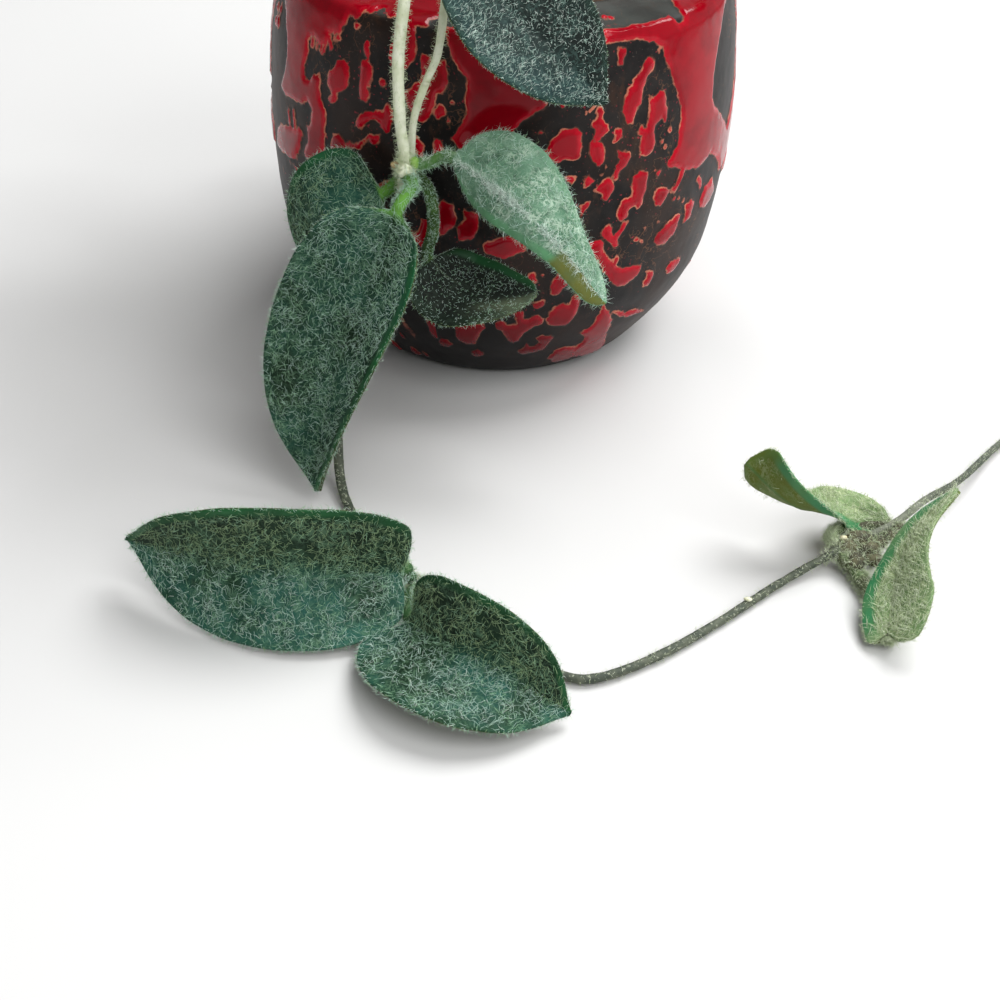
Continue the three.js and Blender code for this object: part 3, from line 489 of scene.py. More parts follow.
def noise(points, size, seed=0):
    """Smooth noise from -1 to 1 with lumps of the given size."""
    p = np.asarray(points, float) / size
    low = np.floor(p)
    f = p - low
    f = f * f * (3 - 2 * f)
    low = low.astype(np.int64)
    total = 0
    for dx in (0, 1):
        for dy in (0, 1):
            for dz in (0, 1):
                weight = (
                    np.where(dx, f[..., 0], 1 - f[..., 0])
                    * np.where(dy, f[..., 1], 1 - f[..., 1])
                    * np.where(dz, f[..., 2], 1 - f[..., 2])
                )
                total = total + weight * lattice(
                    low[..., 0] + dx, low[..., 1] + dy, low[..., 2] + dz, seed
                )
    return total


def unit(v):
    return v / np.maximum(np.linalg.norm(v, axis=-1, keepdims=True), 1e-9)


class Path:
    """A smooth curve through points, measured along its length."""

    def __init__(self, points, divisions=2400):
        p = np.array(points, float)
        self.count = len(p)
        p = np.vstack([2 * p[0] - p[1], p, 2 * p[-1] - p[-2]])
        t = np.linspace(0, self.count - 1, divisions + 1)
        k = np.minimum(t.astype(int), self.count - 2)
        w = (t - k)[:, None]
        p0, p1, p2, p3 = p[k], p[k + 1], p[k + 2], p[k + 3]
        m1, m2 = (p2 - p0) / 2, (p3 - p1) / 2
        self.points = (
            p1
            + m1 * w
            + (3 * (p2 - p1) - 2 * m1 - m2) * w**2
            + (2 * (p1 - p2) + m1 + m2) * w**3
        )
        steps = np.linalg.norm(np.diff(self.points, axis=0), axis=1)
        self.lengths = np.concatenate([[0], np.cumsum(steps)])
        self.total = self.lengths[-1]

    def length_at(self, index):
        """Length from the start to the point with this index."""
        return self.lengths[round(index / (self.count - 1) * (len(self.lengths) - 1))]

    def at(self, distance):
        return np.stack(
            [np.interp(distance, self.lengths, self.points[:, i]) for i in range(3)], -1
        )

    def tangent(self, distance, step=0.05):
        ahead = self.at(np.minimum(distance + step, self.total))
        behind = self.at(np.maximum(distance - step, 0))
        return unit(ahead - behind)


def rounded(xs, ys, x):
    """Heights at x on a rounded curve through points, level where they turn back."""
    slopes = np.diff(ys) / np.diff(xs)
    turns = slopes[1:] * slopes[:-1] <= 0
    both = np.where(turns, 1, slopes[1:] + slopes[:-1])
    inner = np.where(turns, 0, 2 * slopes[1:] * slopes[:-1] / both)
    m = np.concatenate([[slopes[0]], inner, [slopes[-1]]])
    k = np.clip(np.searchsorted(xs, x, "right") - 1, 0, len(xs) - 2)
    h = xs[k + 1] - xs[k]
    w = (x - xs[k]) / h
    return (
        ys[k] * (1 + 2 * w) * (1 - w) ** 2
        + ys[k + 1] * w * w * (3 - 2 * w)
        + h * w * (1 - w) * (m[k] * (1 - w) - m[k + 1] * w)
    )


# Meshes

CAP_STRIP = 0.03  # share of a bake map's height kept for the caps


def make_object(name, vertices, faces, materials, face_slots=None, attributes=None, uvs=None):
    """An object from vertices in millimetres and one or more arrays of faces.

    uvs holds an array of corner places for each array of faces.
    """
    faces = [np.asarray(f, np.int32) for f in faces]
    mesh = bpy.data.meshes.new(name)
    mesh.vertices.add(len(vertices))
    mesh.vertices.foreach_set("co", (np.asarray(vertices, np.float32) * MM).ravel())
    totals = np.concatenate([np.full(len(f), f.shape[1], np.int32) for f in faces])
    corners = np.concatenate([f.ravel() for f in faces])
    mesh.loops.add(len(corners))
    mesh.loops.foreach_set("vertex_index", corners)
    mesh.polygons.add(len(totals))
    starts = np.concatenate([[0], np.cumsum(totals)[:-1]]).astype(np.int32)
    mesh.polygons.foreach_set("loop_start", starts)
    mesh.polygons.foreach_set("loop_total", totals)
    if face_slots is not None:
        mesh.polygons.foreach_set("material_index", np.asarray(face_slots, np.int32))
    mesh.update(calc_edges=True)
    mesh.shade_smooth()
    for key, values in (attributes or {}).items():
        mesh.attributes.new(key, "FLOAT", "POINT").data.foreach_set(
            "value", np.asarray(values, np.float32).ravel()
        )
    if uvs is not None:
        layer = mesh.uv_layers.new(name="OFBake")
        places = np.concatenate([np.asarray(uv, np.float32).reshape(-1, 2) for uv in uvs])
        layer.data.foreach_set("uv", places.ravel())
    for material in materials:
        mesh.materials.append(material)
    obj = bpy.data.objects.new(name, mesh)
    bpy.context.scene.collection.objects.link(obj)
    return obj


def tube_faces(rows, columns):
    """Faces of a tube of rings stored one after the other, with a cap at either end."""
    r, c = np.meshgrid(np.arange(rows - 1), np.arange(columns), indexing="ij")
    a = r * columns + c
    b = r * columns + (c + 1) % columns
    ring = np.arange(columns)
    return [
        np.stack([a, b, b + columns, a + columns], -1).reshape(-1, 4),
        ring[::-1][None],
        ((rows - 1) * columns + ring)[None],
    ]


def tube_uv(rows, columns, heights):
    """Corner places for a tube, above the strip kept for the caps, and for its two caps."""
    r, c = np.meshgrid(np.arange(rows - 1), np.arange(columns), indexing="ij")
    u = np.stack([c, c + 1, c + 1, c], -1) / columns
    v = np.asarray(heights)[np.stack([r, r, r + 1, r + 1], -1)]
    sides = np.stack([0.004 + 0.992 * u, CAP_STRIP + (0.996 - CAP_STRIP) * v], -1)
    turn = np.arange(columns) * 2 * np.pi / columns
    circle = CAP_STRIP * 0.45 * np.stack([np.cos(turn), np.sin(turn)], -1)
    return [sides, *(circle + (CAP_STRIP * (0.5 + k), CAP_STRIP * 0.5) for k in (0, 1))]


def grid_normals(points):
    """Unit normals of a grid of points, from the cross product of its two directions."""
    return unit(np.cross(np.gradient(points, axis=1), np.gradient(points, axis=0)))


def ball_shape():
    """Vertices and faces of a ball with a radius of 1."""
    ball = bmesh.new()
    bmesh.ops.create_icosphere(ball, subdivisions=2, radius=1)
    shape = np.array([v.co[:] for v in ball.verts])
    shape_faces = np.array([[v.index for v in f.verts] for f in ball.faces])
    ball.free()
    return shape, shape_faces


BALL, BALL_FACES = ball_shape()


# Material nodes


class Nodes:
    """Short ways to wire a node material, whose lengths are in metres."""

    def __init__(self, name):
        self.material = bpy.data.materials.new(name)
        self.material.use_nodes = True
        self.tree = self.material.node_tree
        self.shader = self.tree.nodes["Principled BSDF"]

    def add(self, kind, **settings):
        node = self.tree.nodes.new(kind)
        for key, value in settings.items():
            setattr(node, key, value)
        return node

    def put(self, value, socket):
        if isinstance(value, bpy.types.NodeSocket):
            self.tree.links.new(value, socket)
        elif isinstance(value, tuple) and len(value) == 3 and socket.type == "RGBA":
            socket.default_value = (*value, 1)
        else:
            socket.default_value = value

    def coordinates(self):
        return self.add("ShaderNodeTexCoord").outputs["Object"]

    def attribute(self, name):
        return self.add("ShaderNodeAttribute", attribute_name=name).outputs["Fac"]

    def math(self, operation, a, b=0.0, c=0.0):
        node = self.add("ShaderNodeMath", operation=operation)
        for value, socket in zip((a, b, c), node.inputs):
            self.put(value, socket)
        return node.outputs[0]

    def times(self, a, b):
        return self.math("MULTIPLY", a, b)

    def noise(self, scale, detail=2.0, rough=0.5, vector=None, distortion=0.0):
        node = self.add("ShaderNodeTexNoise")
        for value, key in (
            (vector or self.coordinates(), "Vector"), (scale, "Scale"), (detail, "Detail"),
            (rough, "Roughness"), (distortion, "Distortion"),
        ):
            self.put(value, node.inputs[key])
        return node.outputs["Fac"]

    def moved(self, scales, shift=(0.0, 0.0, 0.0)):
        """Coordinates stretched and shifted."""
        node = self.add("ShaderNodeMapping")
        self.put(self.coordinates(), node.inputs["Vector"])
        node.inputs["Scale"].default_value = scales
        node.inputs["Location"].default_value = shift
        return node.outputs["Vector"]

    def range(self, value, low, high, to_low=0.0, to_high=1.0, kind="SMOOTHSTEP"):
        node = self.add("ShaderNodeMapRange", interpolation_type=kind)
        for v, key in (
            (value, "Value"), (low, "From Min"), (high, "From Max"),
            (to_low, "To Min"), (to_high, "To Max"),
        ):
            self.put(v, node.inputs[key])
        return node.outputs["Result"]

    def spots(self, scale, low, high, to_low=0.0, to_high=1.0, detail=2.0, rough=0.5):
        """Noise with the range from low to high spread out and the rest cut off."""
        return self.range(self.noise(scale, detail, rough), low, high, to_low, to_high)

    def blotches(self, scale, first, second, detail=3, rough=0.5, high=0.65):
        """Two colours, given as display values, in blotches."""
        share = self.spots(scale, 0.35, high, 0, 1, detail, rough)
        return self.mix(share, srgb(*first), srgb(*second))

    def mix(self, share, a, b):
        node = self.add("ShaderNodeMix", data_type="RGBA")
        for value, key in ((share, "Factor"), (a, "A"), (b, "B")):
            self.put(value, node.inputs[key])
        return node.outputs["Result"]

    def bump(self, height, distance, strength=1.0):
        node = self.add("ShaderNodeBump")
        for value, key in ((height, "Height"), (distance, "Distance"), (strength, "Strength")):
            self.put(value, node.inputs[key])
        self.put(node.outputs["Normal"], self.shader.inputs["Normal"])

    def set(self, **values):
        for key, value in values.items():
            self.put(value, self.shader.inputs[key.replace("_", " ")])
        return self.material


def plain_material(name, color, roughness):
    return Nodes(name).set(Base_Color=color, Roughness=roughness)


def glaze_material():
    """Glossy raised red over a dull dark ground, with a thin pale orange edge between."""
    n = Nodes("glaze_red_over_dark")
    low = n.attribute("low")
    ragged = n.math("MULTIPLY_ADD", n.noise(380, 4, 0.6), 1.3, -0.65)
    fine = n.math("MULTIPLY_ADD", n.noise(1300, 3), 0.5, -0.25)
    thickness = n.math("ADD", n.math("ADD", n.attribute("glaze"), ragged), fine)
    red_share = n.range(thickness, -0.05, 0.14)
    red = n.mix(n.range(thickness, 0.1, 1.8), srgb(184, 6, 32), srgb(152, 1, 22))
    red = n.mix(n.spots(110, 0.42, 0.72, 0, 0.6, 4, 0.6), red, srgb(108, 0, 13))
    # Painted shade: the red goes darker towards the foot on the front
    red = n.mix(n.times(low, 0.9), red, srgb(70, 0, 6))
    rim = n.times(n.range(thickness, -0.34, -0.08), n.range(thickness, 0.02, 0.26, 1, 0))
    rim = n.times(rim, n.spots(170, 0.42, 0.62, 0.12, 0.9, 3, 0.6))
    # The pale edge fades with the same painted shade
    rim = n.times(rim, n.range(low, 0, 1, 1, 0.25))
    color = n.mix(red_share, dark_ground(n, thickness, low), red)
    color = n.mix(rim, color, srgb(204, 122, 96))
    n.bump(n.noise(1500, 4, 0.6), 0.00004, 0.3)
    roughness = n.range(red_share, 0, 1, 0.46, 0.12, kind="LINEAR")
    return n.set(Base_Color=color, Roughness=roughness, Specular_IOR_Level=0.19)


def dark_ground(n, thickness, low):
    """The ground's colour: brown smears, a painted sky sheen on the shoulder, fine threads, red
    specks and pale grit, and painted shade towards the foot on the front.
    """
    ground = n.blotches(95, (13, 11, 12), (36, 32, 31), 5, 0.65, 0.68)
    ground = n.mix(n.spots(38, 0.48, 0.66, 0, 0.7, 3), ground, srgb(46, 30, 22))
    smear = n.range(n.noise(150, 4, 0.7, n.moved((1, 1, 0.45))), 0.56, 0.68, 0, 0.55)
    ground = n.mix(smear, ground, srgb(64, 42, 30))
    # Painted reflection: a pale grey sheen of the sky over the shoulder
    painted_sky_sheen = n.times(n.attribute("shoulder"), n.spots(120, 0.3, 0.7, 0.3, 0.8, 5, 0.6))
    ground = n.mix(painted_sky_sheen, ground, srgb(72, 76, 72))
    thread = n.math("ABSOLUTE", n.math("SUBTRACT", n.noise(170, 3, 0.6), 0.5))
    thread = n.times(n.range(thread, 0, 0.014, 1, 0), n.spots(60, 0.5, 0.6))
    ground = n.mix(n.times(thread, 0.6), ground, srgb(112, 76, 54))
    specks = n.times(n.spots(1050, 0.66, 0.72), n.range(thickness, -2.6, -0.6))
    ground = n.mix(n.times(specks, 0.75), ground, srgb(164, 44, 58))
    ground = n.mix(n.spots(1900, 0.66, 0.76, 0, 0.5), ground, srgb(104, 92, 86))
    # Painted shade: near black towards the foot on the front
    return n.mix(n.times(low, 0.95), ground, srgb(5, 2, 2))


def fuzz_lines(n, bare, most):
    """Fine curly lines, as of hairs too small for the mesh, thinned out on a bare margin."""
    lines = None
    for scale, shift in ((360, (0.0, 0.0, 0.0)), (560, (0.3, 0.1, 0.7)), (820, (0.9, 0.4, 0.2))):
        field = n.noise(scale, 2, 0.5, n.moved((1, 1, 1), shift), 0.9)
        line = n.range(n.math("ABSOLUTE", n.math("SUBTRACT", field, 0.5)), 0.004, 0.036, 1, 0)
        lines = line if lines is None else n.math("MAXIMUM", lines, line)
    lines = n.times(lines, n.spots(240, 0.34, 0.66, 0.15, 1.0, 3))
    return n.times(lines, n.range(bare, 0.1, 0.6, most, 0))


def leaf_material(name, colors, fuzz_share, speckle):
    """A leaf skin: dark green with pale curly fuzz, a smooth bare margin and a green stalk."""
    dark, light, cool, under, margin, stalk, fuzz = [srgb(*color) for color in colors]
    n = Nodes(name)
    across = n.math("ABSOLUTE", n.attribute("across"))
    bare = n.times(n.attribute("bare"), n.spots(90, 0.36, 0.6, 0.45, 1, 3))
    hairs = fuzz_lines(n, bare, fuzz_share)
    blotch = n.spots(70, 0.34, 0.66, 0, 1, 5, 0.6)
    # Painted light: the cool side turns bluish and lighter as sky light, the other side darker as
    # shade
    painted_light_side = n.attribute("cool")
    skin = n.mix(n.range(painted_light_side, 0, 0.5, 0.45, 0), n.mix(blotch, dark, light), dark)
    skin = n.mix(n.times(painted_light_side, 0.85), skin, n.mix(blotch, light, cool))
    skin = n.mix(n.spots(300, 0.5, 0.75, 0, speckle, 4, 0.7), skin, srgb(10, 24, 16))
    top = n.mix(hairs, skin, fuzz)
    along = n.range(n.attribute("along"), 0.0, 0.5, 0.7, 0)
    rib = n.times(n.range(across, 0.0, 0.05, 1, 0), along)
    top = n.mix(rib, top, n.mix(0.5, cool, fuzz))
    smooth = n.mix(n.spots(180, 0.3, 0.7, detail=3), margin, n.mix(0.45, margin, dark))
    top = n.mix(bare, top, smooth)
    low = n.mix(n.spots(260, 0.3, 0.7, detail=3), under, n.mix(0.4, under, dark))
    low = n.mix(n.times(hairs, 0.35), low, fuzz)
    low = n.mix(n.range(across, 0.0, 0.1, 0.5, 0), low, n.mix(0.5, under, margin))
    low = n.mix(n.times(bare, n.attribute("turned")), low, smooth)
    color = n.mix(n.range(n.attribute("upper"), 0.35, 0.65), low, top)
    green = n.mix(n.spots(240, 0.35, 0.65, detail=3), stalk, n.mix(0.5, stalk, dark))
    green = n.mix(n.times(hairs, 0.5), green, fuzz)
    color = n.mix(n.attribute("stalk"), color, green)
    n.bump(n.math("ADD", n.times(hairs, 0.8), n.noise(500, 3)), 0.00016, 0.8)
    roughness = n.range(bare, 0.2, 0.8, 0.7, 0.4)
    return n.set(Base_Color=color, Roughness=roughness, Specular_IOR_Level=0.22)


def stem_material():
    """Pale and downy where young, dark grey-green with fine pale specks where old."""
    n = Nodes("stem_skin")
    pale = n.blotches(300, (212, 220, 186), (236, 240, 218))
    old = n.blotches(420, (52, 62, 50), (86, 92, 76), 4, 0.65, 0.66)
    old = n.mix(n.spots(1500, 0.6, 0.68, 0, 0.75), old, srgb(160, 166, 146))
    color = n.mix(n.range(n.attribute("age"), 0.15, 0.85), pale, old)
    color = n.mix(n.spots(120, 0.66, 0.74, 0, 0.6), color, srgb(150, 112, 70))
    n.bump(n.noise(900, 4, 0.6, n.moved((1, 1, 0.35))), 0.0002, 0.6)
    return n.set(Base_Color=color, Roughness=0.7)


def soil_material():
    n = Nodes("soil_mix")
    color = n.blotches(260, (38, 27, 20), (82, 61, 45), 5, 0.7)
    color = n.mix(n.spots(700, 0.66, 0.72, 0, 0.7), color, srgb(140, 118, 92))
    n.bump(n.noise(800, 5, 0.7), 0.0008, 1.0)
    return n.set(Base_Color=color, Roughness=0.95)


def bark_material():
    n = Nodes("soil_bark")
    n.bump(n.noise(1200, 4, 0.7), 0.0004, 0.9)
    color = n.blotches(400, (74, 46, 30), (126, 88, 60), 4, 0.6)
    return n.set(Base_Color=color, Roughness=0.9)


def pumice_material():
    n = Nodes("soil_pumice")
    n.bump(n.noise(1500, 3, 0.6), 0.0004, 0.9)
    color = n.blotches(900, (196, 190, 178), (232, 228, 218), 4, 0.6)
    return n.set(Base_Color=color, Roughness=0.95)


def bud_material():
    """Green, pale or brown, by the attribute kind."""
    n = Nodes("bud_skin")
    kind = n.attribute("kind")
    green = n.blotches(500, (112, 158, 62), (156, 190, 104))
    brown = n.blotches(700, (150, 116, 66), (196, 172, 120))
    pale = n.blotches(600, (200, 206, 168), (232, 236, 212))
    color = n.mix(n.range(kind, 0.05, 0.45), green, pale)
    return n.set(Base_Color=n.mix(n.range(kind, 0.5, 0.95), color, brown), Roughness=0.6)


def knot_material():
    n = Nodes("knot_skin")
    color = n.blotches(420, (56, 56, 40), (100, 98, 72), 4, 0.65)
    return n.set(Base_Color=color, Roughness=0.8)


# Pot

FIELD_REACH = 3.0  # millimetres either side of the red glaze's edge that are measured
EDGE_GROWTH = 0.12  # millimetres added all round each patch
MIRROR_RIGHT, MIRROR_LEFT = 148, -144  # degrees: a form at a is also put at this less a
DRAWN_FROM, DRAWN_TO = -72.0, 74.0  # degrees round the front that the patches cover
WALL_STEP, LINING_STEP = 0.74, 4.2  # from row to row
FRONT_SIDES, BACK_SIDES = 300, 160
FINE_HALF_ANGLE = 75  # degrees either side of the front over which the front sides lie
GLAZE_HEIGHT = 0.55
SHADED_UP_TO = 62  # millimetres along the wall over which the foot grows darker
WALL_SHARE = 0.82  # share of the bake map's height for the outer wall


def stroke_distance(x, y, start, end):
    """Distance to the straight stroke between two places."""
    ex, ey = end[0] - start[0], end[1] - start[1]
    share = ((x - start[0]) * ex + (y - start[1]) * ey) / max(ex * ex + ey * ey, 1e-9)
    share = np.clip(share, 0, 1)
    return np.hypot(x - start[0] - share * ex, y - start[1] - share * ey)


def patch_distance(x, y, corners):
    """Distance into a patch, negative outside. A drip or a drop is all outside its middle."""
    if len(corners) < 3:
        return -stroke_distance(x, y, corners[0], corners[-1])
    nearest = np.full(x.shape, 1e9)
    inside = np.zeros(x.shape, bool)
    for start, end in zip(corners, corners[1:] + corners[:1]):
        nearest = np.minimum(nearest, stroke_distance(x, y, start, end))
        (x0, y0), (x1, y1) = start, end
        if y0 != y1:
            crosses = (y0 > y) != (y1 > y)
            inside ^= crosses & (x < x0 + (y - y0) / (y1 - y0) * (x1 - x0))
    return np.where(inside, nearest, -nearest)


def all_patches():
    """The front's patches, and the same forms mirrored and warped round the two sides."""
    placed = [(corners, EDGE_GROWTH) for corners in PATCHES]
    placed += [([(a, s)], radius) for a, s, radius in DROPS]
    placed += [([(a, s), (b, t)], radius) for a, s, b, t, radius in DRIPS]
    sides = []
    for corners, grow in placed:
        if max(a for a, _ in corners) > -12:
            bend = [(MIRROR_RIGHT - a, s + 2.6 * math.sin(a * 0.11 + 1)) for a, s in corners]
            sides.append((bend, grow))
        if min(a for a, _ in corners) < 16:
            bend = [(MIRROR_LEFT - a, s + 2.8 * math.sin(a * 0.13)) for a, s in corners]
            sides.append((bend, grow))
    return placed + sides


def drawn_field(x, y):
    """Distance into the nearest patch, at places in millimetres round and up the wall."""
    field = np.full(x.shape, -FIELD_REACH)
    turn = 360 * MM_PER_DEGREE
    for corners, grow in all_patches():
        for shift in (-turn, 0, turn):
            flat = [(a * MM_PER_DEGREE + shift, s) for a, s in corners]
            cx, cy = zip(*flat)
            near = (
                (x > min(cx) - FIELD_REACH)
                & (x < max(cx) + FIELD_REACH)
                & (y > min(cy) - FIELD_REACH)
                & (y < max(cy) + FIELD_REACH)
            )
            if near.any():
                found = patch_distance(x[near], y[near], flat) + grow
                field[near] = np.maximum(field[near], found)
    return field


def wobble(points, seed):
    """Small shifts that make a patch's straight edges uneven."""
    return 0.42 * noise(points, 2.4, seed) + 0.26 * noise(points, 1.05, seed + 1)


def glaze_field(azimuth, arc, points):
    """Distance in millimetres into the red glaze, negative over the dark ground."""
    x, y = azimuth * MM_PER_DEGREE + wobble(points, 1), arc + wobble(points, 3)
    # Loose patches, drawn out downwards, where the front's forms aren't drawn
    lean = np.radians(azimuth + 0.12 * arc)
    tall = np.stack([60 * np.cos(lean), 60 * np.sin(lean), arc * 0.45], -1)
    loose = 4.5 * (noise(tall, 4.2, 7) + 0.5 * noise(tall, 2.1, 8) - 0.42)
    front = (azimuth > DRAWN_FROM) & (azimuth < DRAWN_TO)
    hidden = front & (azimuth < -14) & (arc < 62)
    far = (azimuth > 150) | (azimuth < -146)
    low = (arc < 30) & ~front
    loose = np.where((hidden | far | low) & (arc > 6), loose, -FIELD_REACH)
    # A red ring near the lip that runs out in tongues, and the band closed round the back
    tongues = 4.2 + 2.6 * noise(np.stack([lean * 9, lean * 0, lean * 0], -1), 1.0, 9)
    ring = arc - (119 - tongues) - 6 * smoothstep(22, 2, np.abs(azimuth - 34))
    band = np.where(far, 2.2 - np.abs(arc - 106) + noise(tall, 5, 10), -FIELD_REACH)
    field = np.maximum(np.maximum(drawn_field(x, y), loose), np.maximum(ring, band))
    return np.clip(field, -FIELD_REACH, FIELD_REACH)


def resample(profile, step):
    """Evenly spaced points along a smooth curve through a (radius, height) profile."""
    path = Path([(r, h, 0) for r, h in profile])
    distances = np.linspace(0, path.total, max(2, round(path.total / step) + 1))
    return path.at(distances)[:, :2]


def revolve(profile, around):
    """A grid of points: a (radius, height) profile turned round the pot's axis."""
    grid = around[None] * profile[:, None, :1]
    grid[..., 2] = profile[:, 1][:, None]
    return grid


def pot_azimuths():
    """Degrees round the pot from its front, closer together where the photo shows it."""
    front = np.linspace(-FINE_HALF_ANGLE, FINE_HALF_ANGLE, FRONT_SIDES, endpoint=False)
    back = np.linspace(FINE_HALF_ANGLE, 360 - FINE_HALF_ANGLE, BACK_SIDES, endpoint=False)
    return np.concatenate([front, np.where(back > 180, back - 360, back)])


def pot_wall(azimuth, around):
    """The outer wall's points with the raised glaze, its attributes, and each row's height."""
    outer = resample(OUTER_WALL, WALL_STEP)
    outer[:, 1] = np.maximum(outer[:, 1], 0)
    steps = np.linalg.norm(np.diff(np.array(OUTER_WALL, float), axis=0), axis=1)
    length = np.concatenate([[0], np.cumsum(np.linalg.norm(np.diff(outer, axis=0), axis=1))])
    arc = length / length[-1] * steps.sum()
    slope = unit(np.gradient(outer, axis=0))
    wall = revolve(outer, around)
    normal = revolve(np.stack([slope[:, 1], -slope[:, 0]], -1), around)
    round_grid, arc_grid = np.broadcast_arrays(azimuth, arc[:, None])
    field = glaze_field(round_grid, arc_grid, wall)
    height = GLAZE_HEIGHT * (smoothstep(-0.4, 1.0, field) - 0.5)
    height += 0.12 * noise(wall, 9, 21) + 0.05 * noise(wall, 2.2, 22)
    wall = wall + normal * (height * smoothstep(0, 5, arc_grid))[..., None]
    wall[..., 2] = np.maximum(wall[..., 2], 0)
    # Painted shade: darker towards the foot on the front, fading out round the sides
    shade = smoothstep(SHADED_UP_TO, 8, arc_grid + 5 * noise(wall, 25, 24))
    shade = shade * smoothstep(62, 6, np.abs(round_grid + 4))
    shares = {"glaze": field, "low": shade, "shoulder": smoothstep(106, 109, arc_grid)}
    return wall, shares, arc / arc[-1]


def make_pot():
    azimuth = pot_azimuths()
    turn = np.radians(azimuth)
    around = np.stack([np.sin(turn), -np.cos(turn), np.zeros(len(turn))], -1)
    wall, shares, height = pot_wall(azimuth, around)
    # The lip and the inside, where the red runs out downwards
    inner = resample([OUTER_WALL[-1], *LIP_AND_INSIDE], LINING_STEP)[1:]
    lining = revolve(inner, around)
    depth = np.linspace(0, 1, len(inner))
    red = (2.5 - 9 * depth)[:, None] + 0.9 * noise(lining, 5, 23)
    inside = {"glaze": np.clip(red, -FIELD_REACH, FIELD_REACH)}
    rest = np.zeros(lining.shape[:2])
    rows, sides = len(wall) + len(lining), len(azimuth)
    heights = [height * WALL_SHARE, WALL_SHARE + (1 - WALL_SHARE) * (depth + 0.05) / 1.05]
    pot = make_object(
        "glazed_pot", np.concatenate([wall, lining]).reshape(-1, 3), tube_faces(rows, sides),
        [glaze_material()],
        attributes={k: np.concatenate([v, inside.get(k, rest)]) for k, v in shares.items()},
        uvs=tube_uv(rows, sides, np.concatenate(heights)),
    )
    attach(pot, "root")
    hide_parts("pot")


# Soil

SOIL_RINGS, SOIL_SIDES = 40, 160
SOIL_GAP = 0.45  # millimetres between the soil and the pot's inside
BITS, BITS_WITHIN = 210, 47.5  # how many, and within what radius
PUMICE_SHARE = 0.3


def make_soil():
    radii = np.linspace(SOIL_EDGE_RADIUS, 0.4, SOIL_RINGS)
    angle = np.arange(SOIL_SIDES) * 2 * np.pi / SOIL_SIDES
    around = np.stack([np.cos(angle), np.sin(angle), np.zeros(SOIL_SIDES)], -1)
    top = revolve(np.stack([radii, np.full(SOIL_RINGS, float(SOIL_TOP))], -1), around)
    fade = smoothstep(SOIL_EDGE_RADIUS, SOIL_EDGE_RADIUS - 5, radii)[:, None]
    lumps = 0.4 + 0.8 * noise(top, 6, 31) + 0.6 * noise(top, 2.4, 32) + 0.3 * noise(top, 1.2, 33)
    top[..., 2] += lumps * fade
    floor = LIP_AND_INSIDE[-1][1] + SOIL_GAP
    wall = [(r - SOIL_GAP, max(h, floor)) for r, h in LIP_AND_INSIDE[::-1] if h < SOIL_TOP]
    points = np.concatenate([revolve(np.array(wall), around), top])
    soil = make_object(
        "potting_soil", points.reshape(-1, 3), tube_faces(len(points), SOIL_SIDES),
        [soil_material()],
    )
    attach(soil, "root")
    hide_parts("soil")


def make_balls(name, balls, materials, **more):
    """One piece of uneven balls, each given by its vertices."""
    faces = [BALL_FACES + len(BALL) * k for k in range(len(balls))]
    obj = make_object(name, np.concatenate(balls), [np.concatenate(faces)], materials, **more)
    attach(obj, "root")
    return obj


def make_soil_bits():
    """Bits of bark and pumice half sunk in the soil's surface."""
    bits, slots = [], []
    for k in range(BITS):
        radius = BITS_WITHIN * math.sqrt(rng.random())
        turn = rng.random() * 2 * math.pi
        white = rng.random() < PUMICE_SHARE
        size = rng.uniform(0.8, 1.7) if white else rng.uniform(1.0, 2.6)
        flat = (1, 0.85, 0.8) if white else (1, rng.uniform(0.4, 0.8), rng.uniform(0.25, 0.5))
        bit = BALL * flat * (1 + 0.3 * noise(BALL + k * 3.7, 0.7, 40))[:, None] * size
        tilt = Matrix.Rotation(rng.random() * 6.283, 3, "Z") @ Matrix.Rotation(
            rng.uniform(-0.5, 0.5), 3, "X"
        )
        place = (radius * math.cos(turn), radius * math.sin(turn), SOIL_TOP + 0.7)
        bits.append(bit @ np.array(tilt).T + place)
        slots += [int(white)] * len(BALL_FACES)
    obj = make_balls(
        "soil_bits", bits, [bark_material(), pumice_material()], face_slots=slots
    )


# Hairs

LEAST_HEIGHT = 0.04  # nothing dips below the surface that the plant lies on
HAIR_RADIUS = 0.045

hairs = {}  # by group, batches of roots, directions, bends, lengths and tones


def add_hairs(group, *batch):
    """Tones, the last of a batch, run from 0 for the first of its tints to 1 for the last."""
    hairs.setdefault(group, []).append(batch)


def hair_points(roots, directions, bends, lengths):
    """Seven points for each hair: three round its root, three round its bend and its tip."""
    directions, bends = unit(directions), unit(bends)
    lengths = lengths[:, None]
    middle = roots + directions * lengths * 0.5
    tip = middle + unit(directions + 1.5 * bends) * lengths * 0.55
    across = unit(np.cross(directions, bends + 0.01))
    above = np.cross(directions, across)
    points = []
    for centre, share in ((roots - directions * 0.1, 1.0), (middle, 0.8)):
        for k in range(3):
            turn = 2 * math.pi * k / 3
            side = across * math.cos(turn) + above * math.sin(turn)
            points.append(centre + side * HAIR_RADIUS * share)
    return np.stack([*points, tip], 1).reshape(-1, 3)


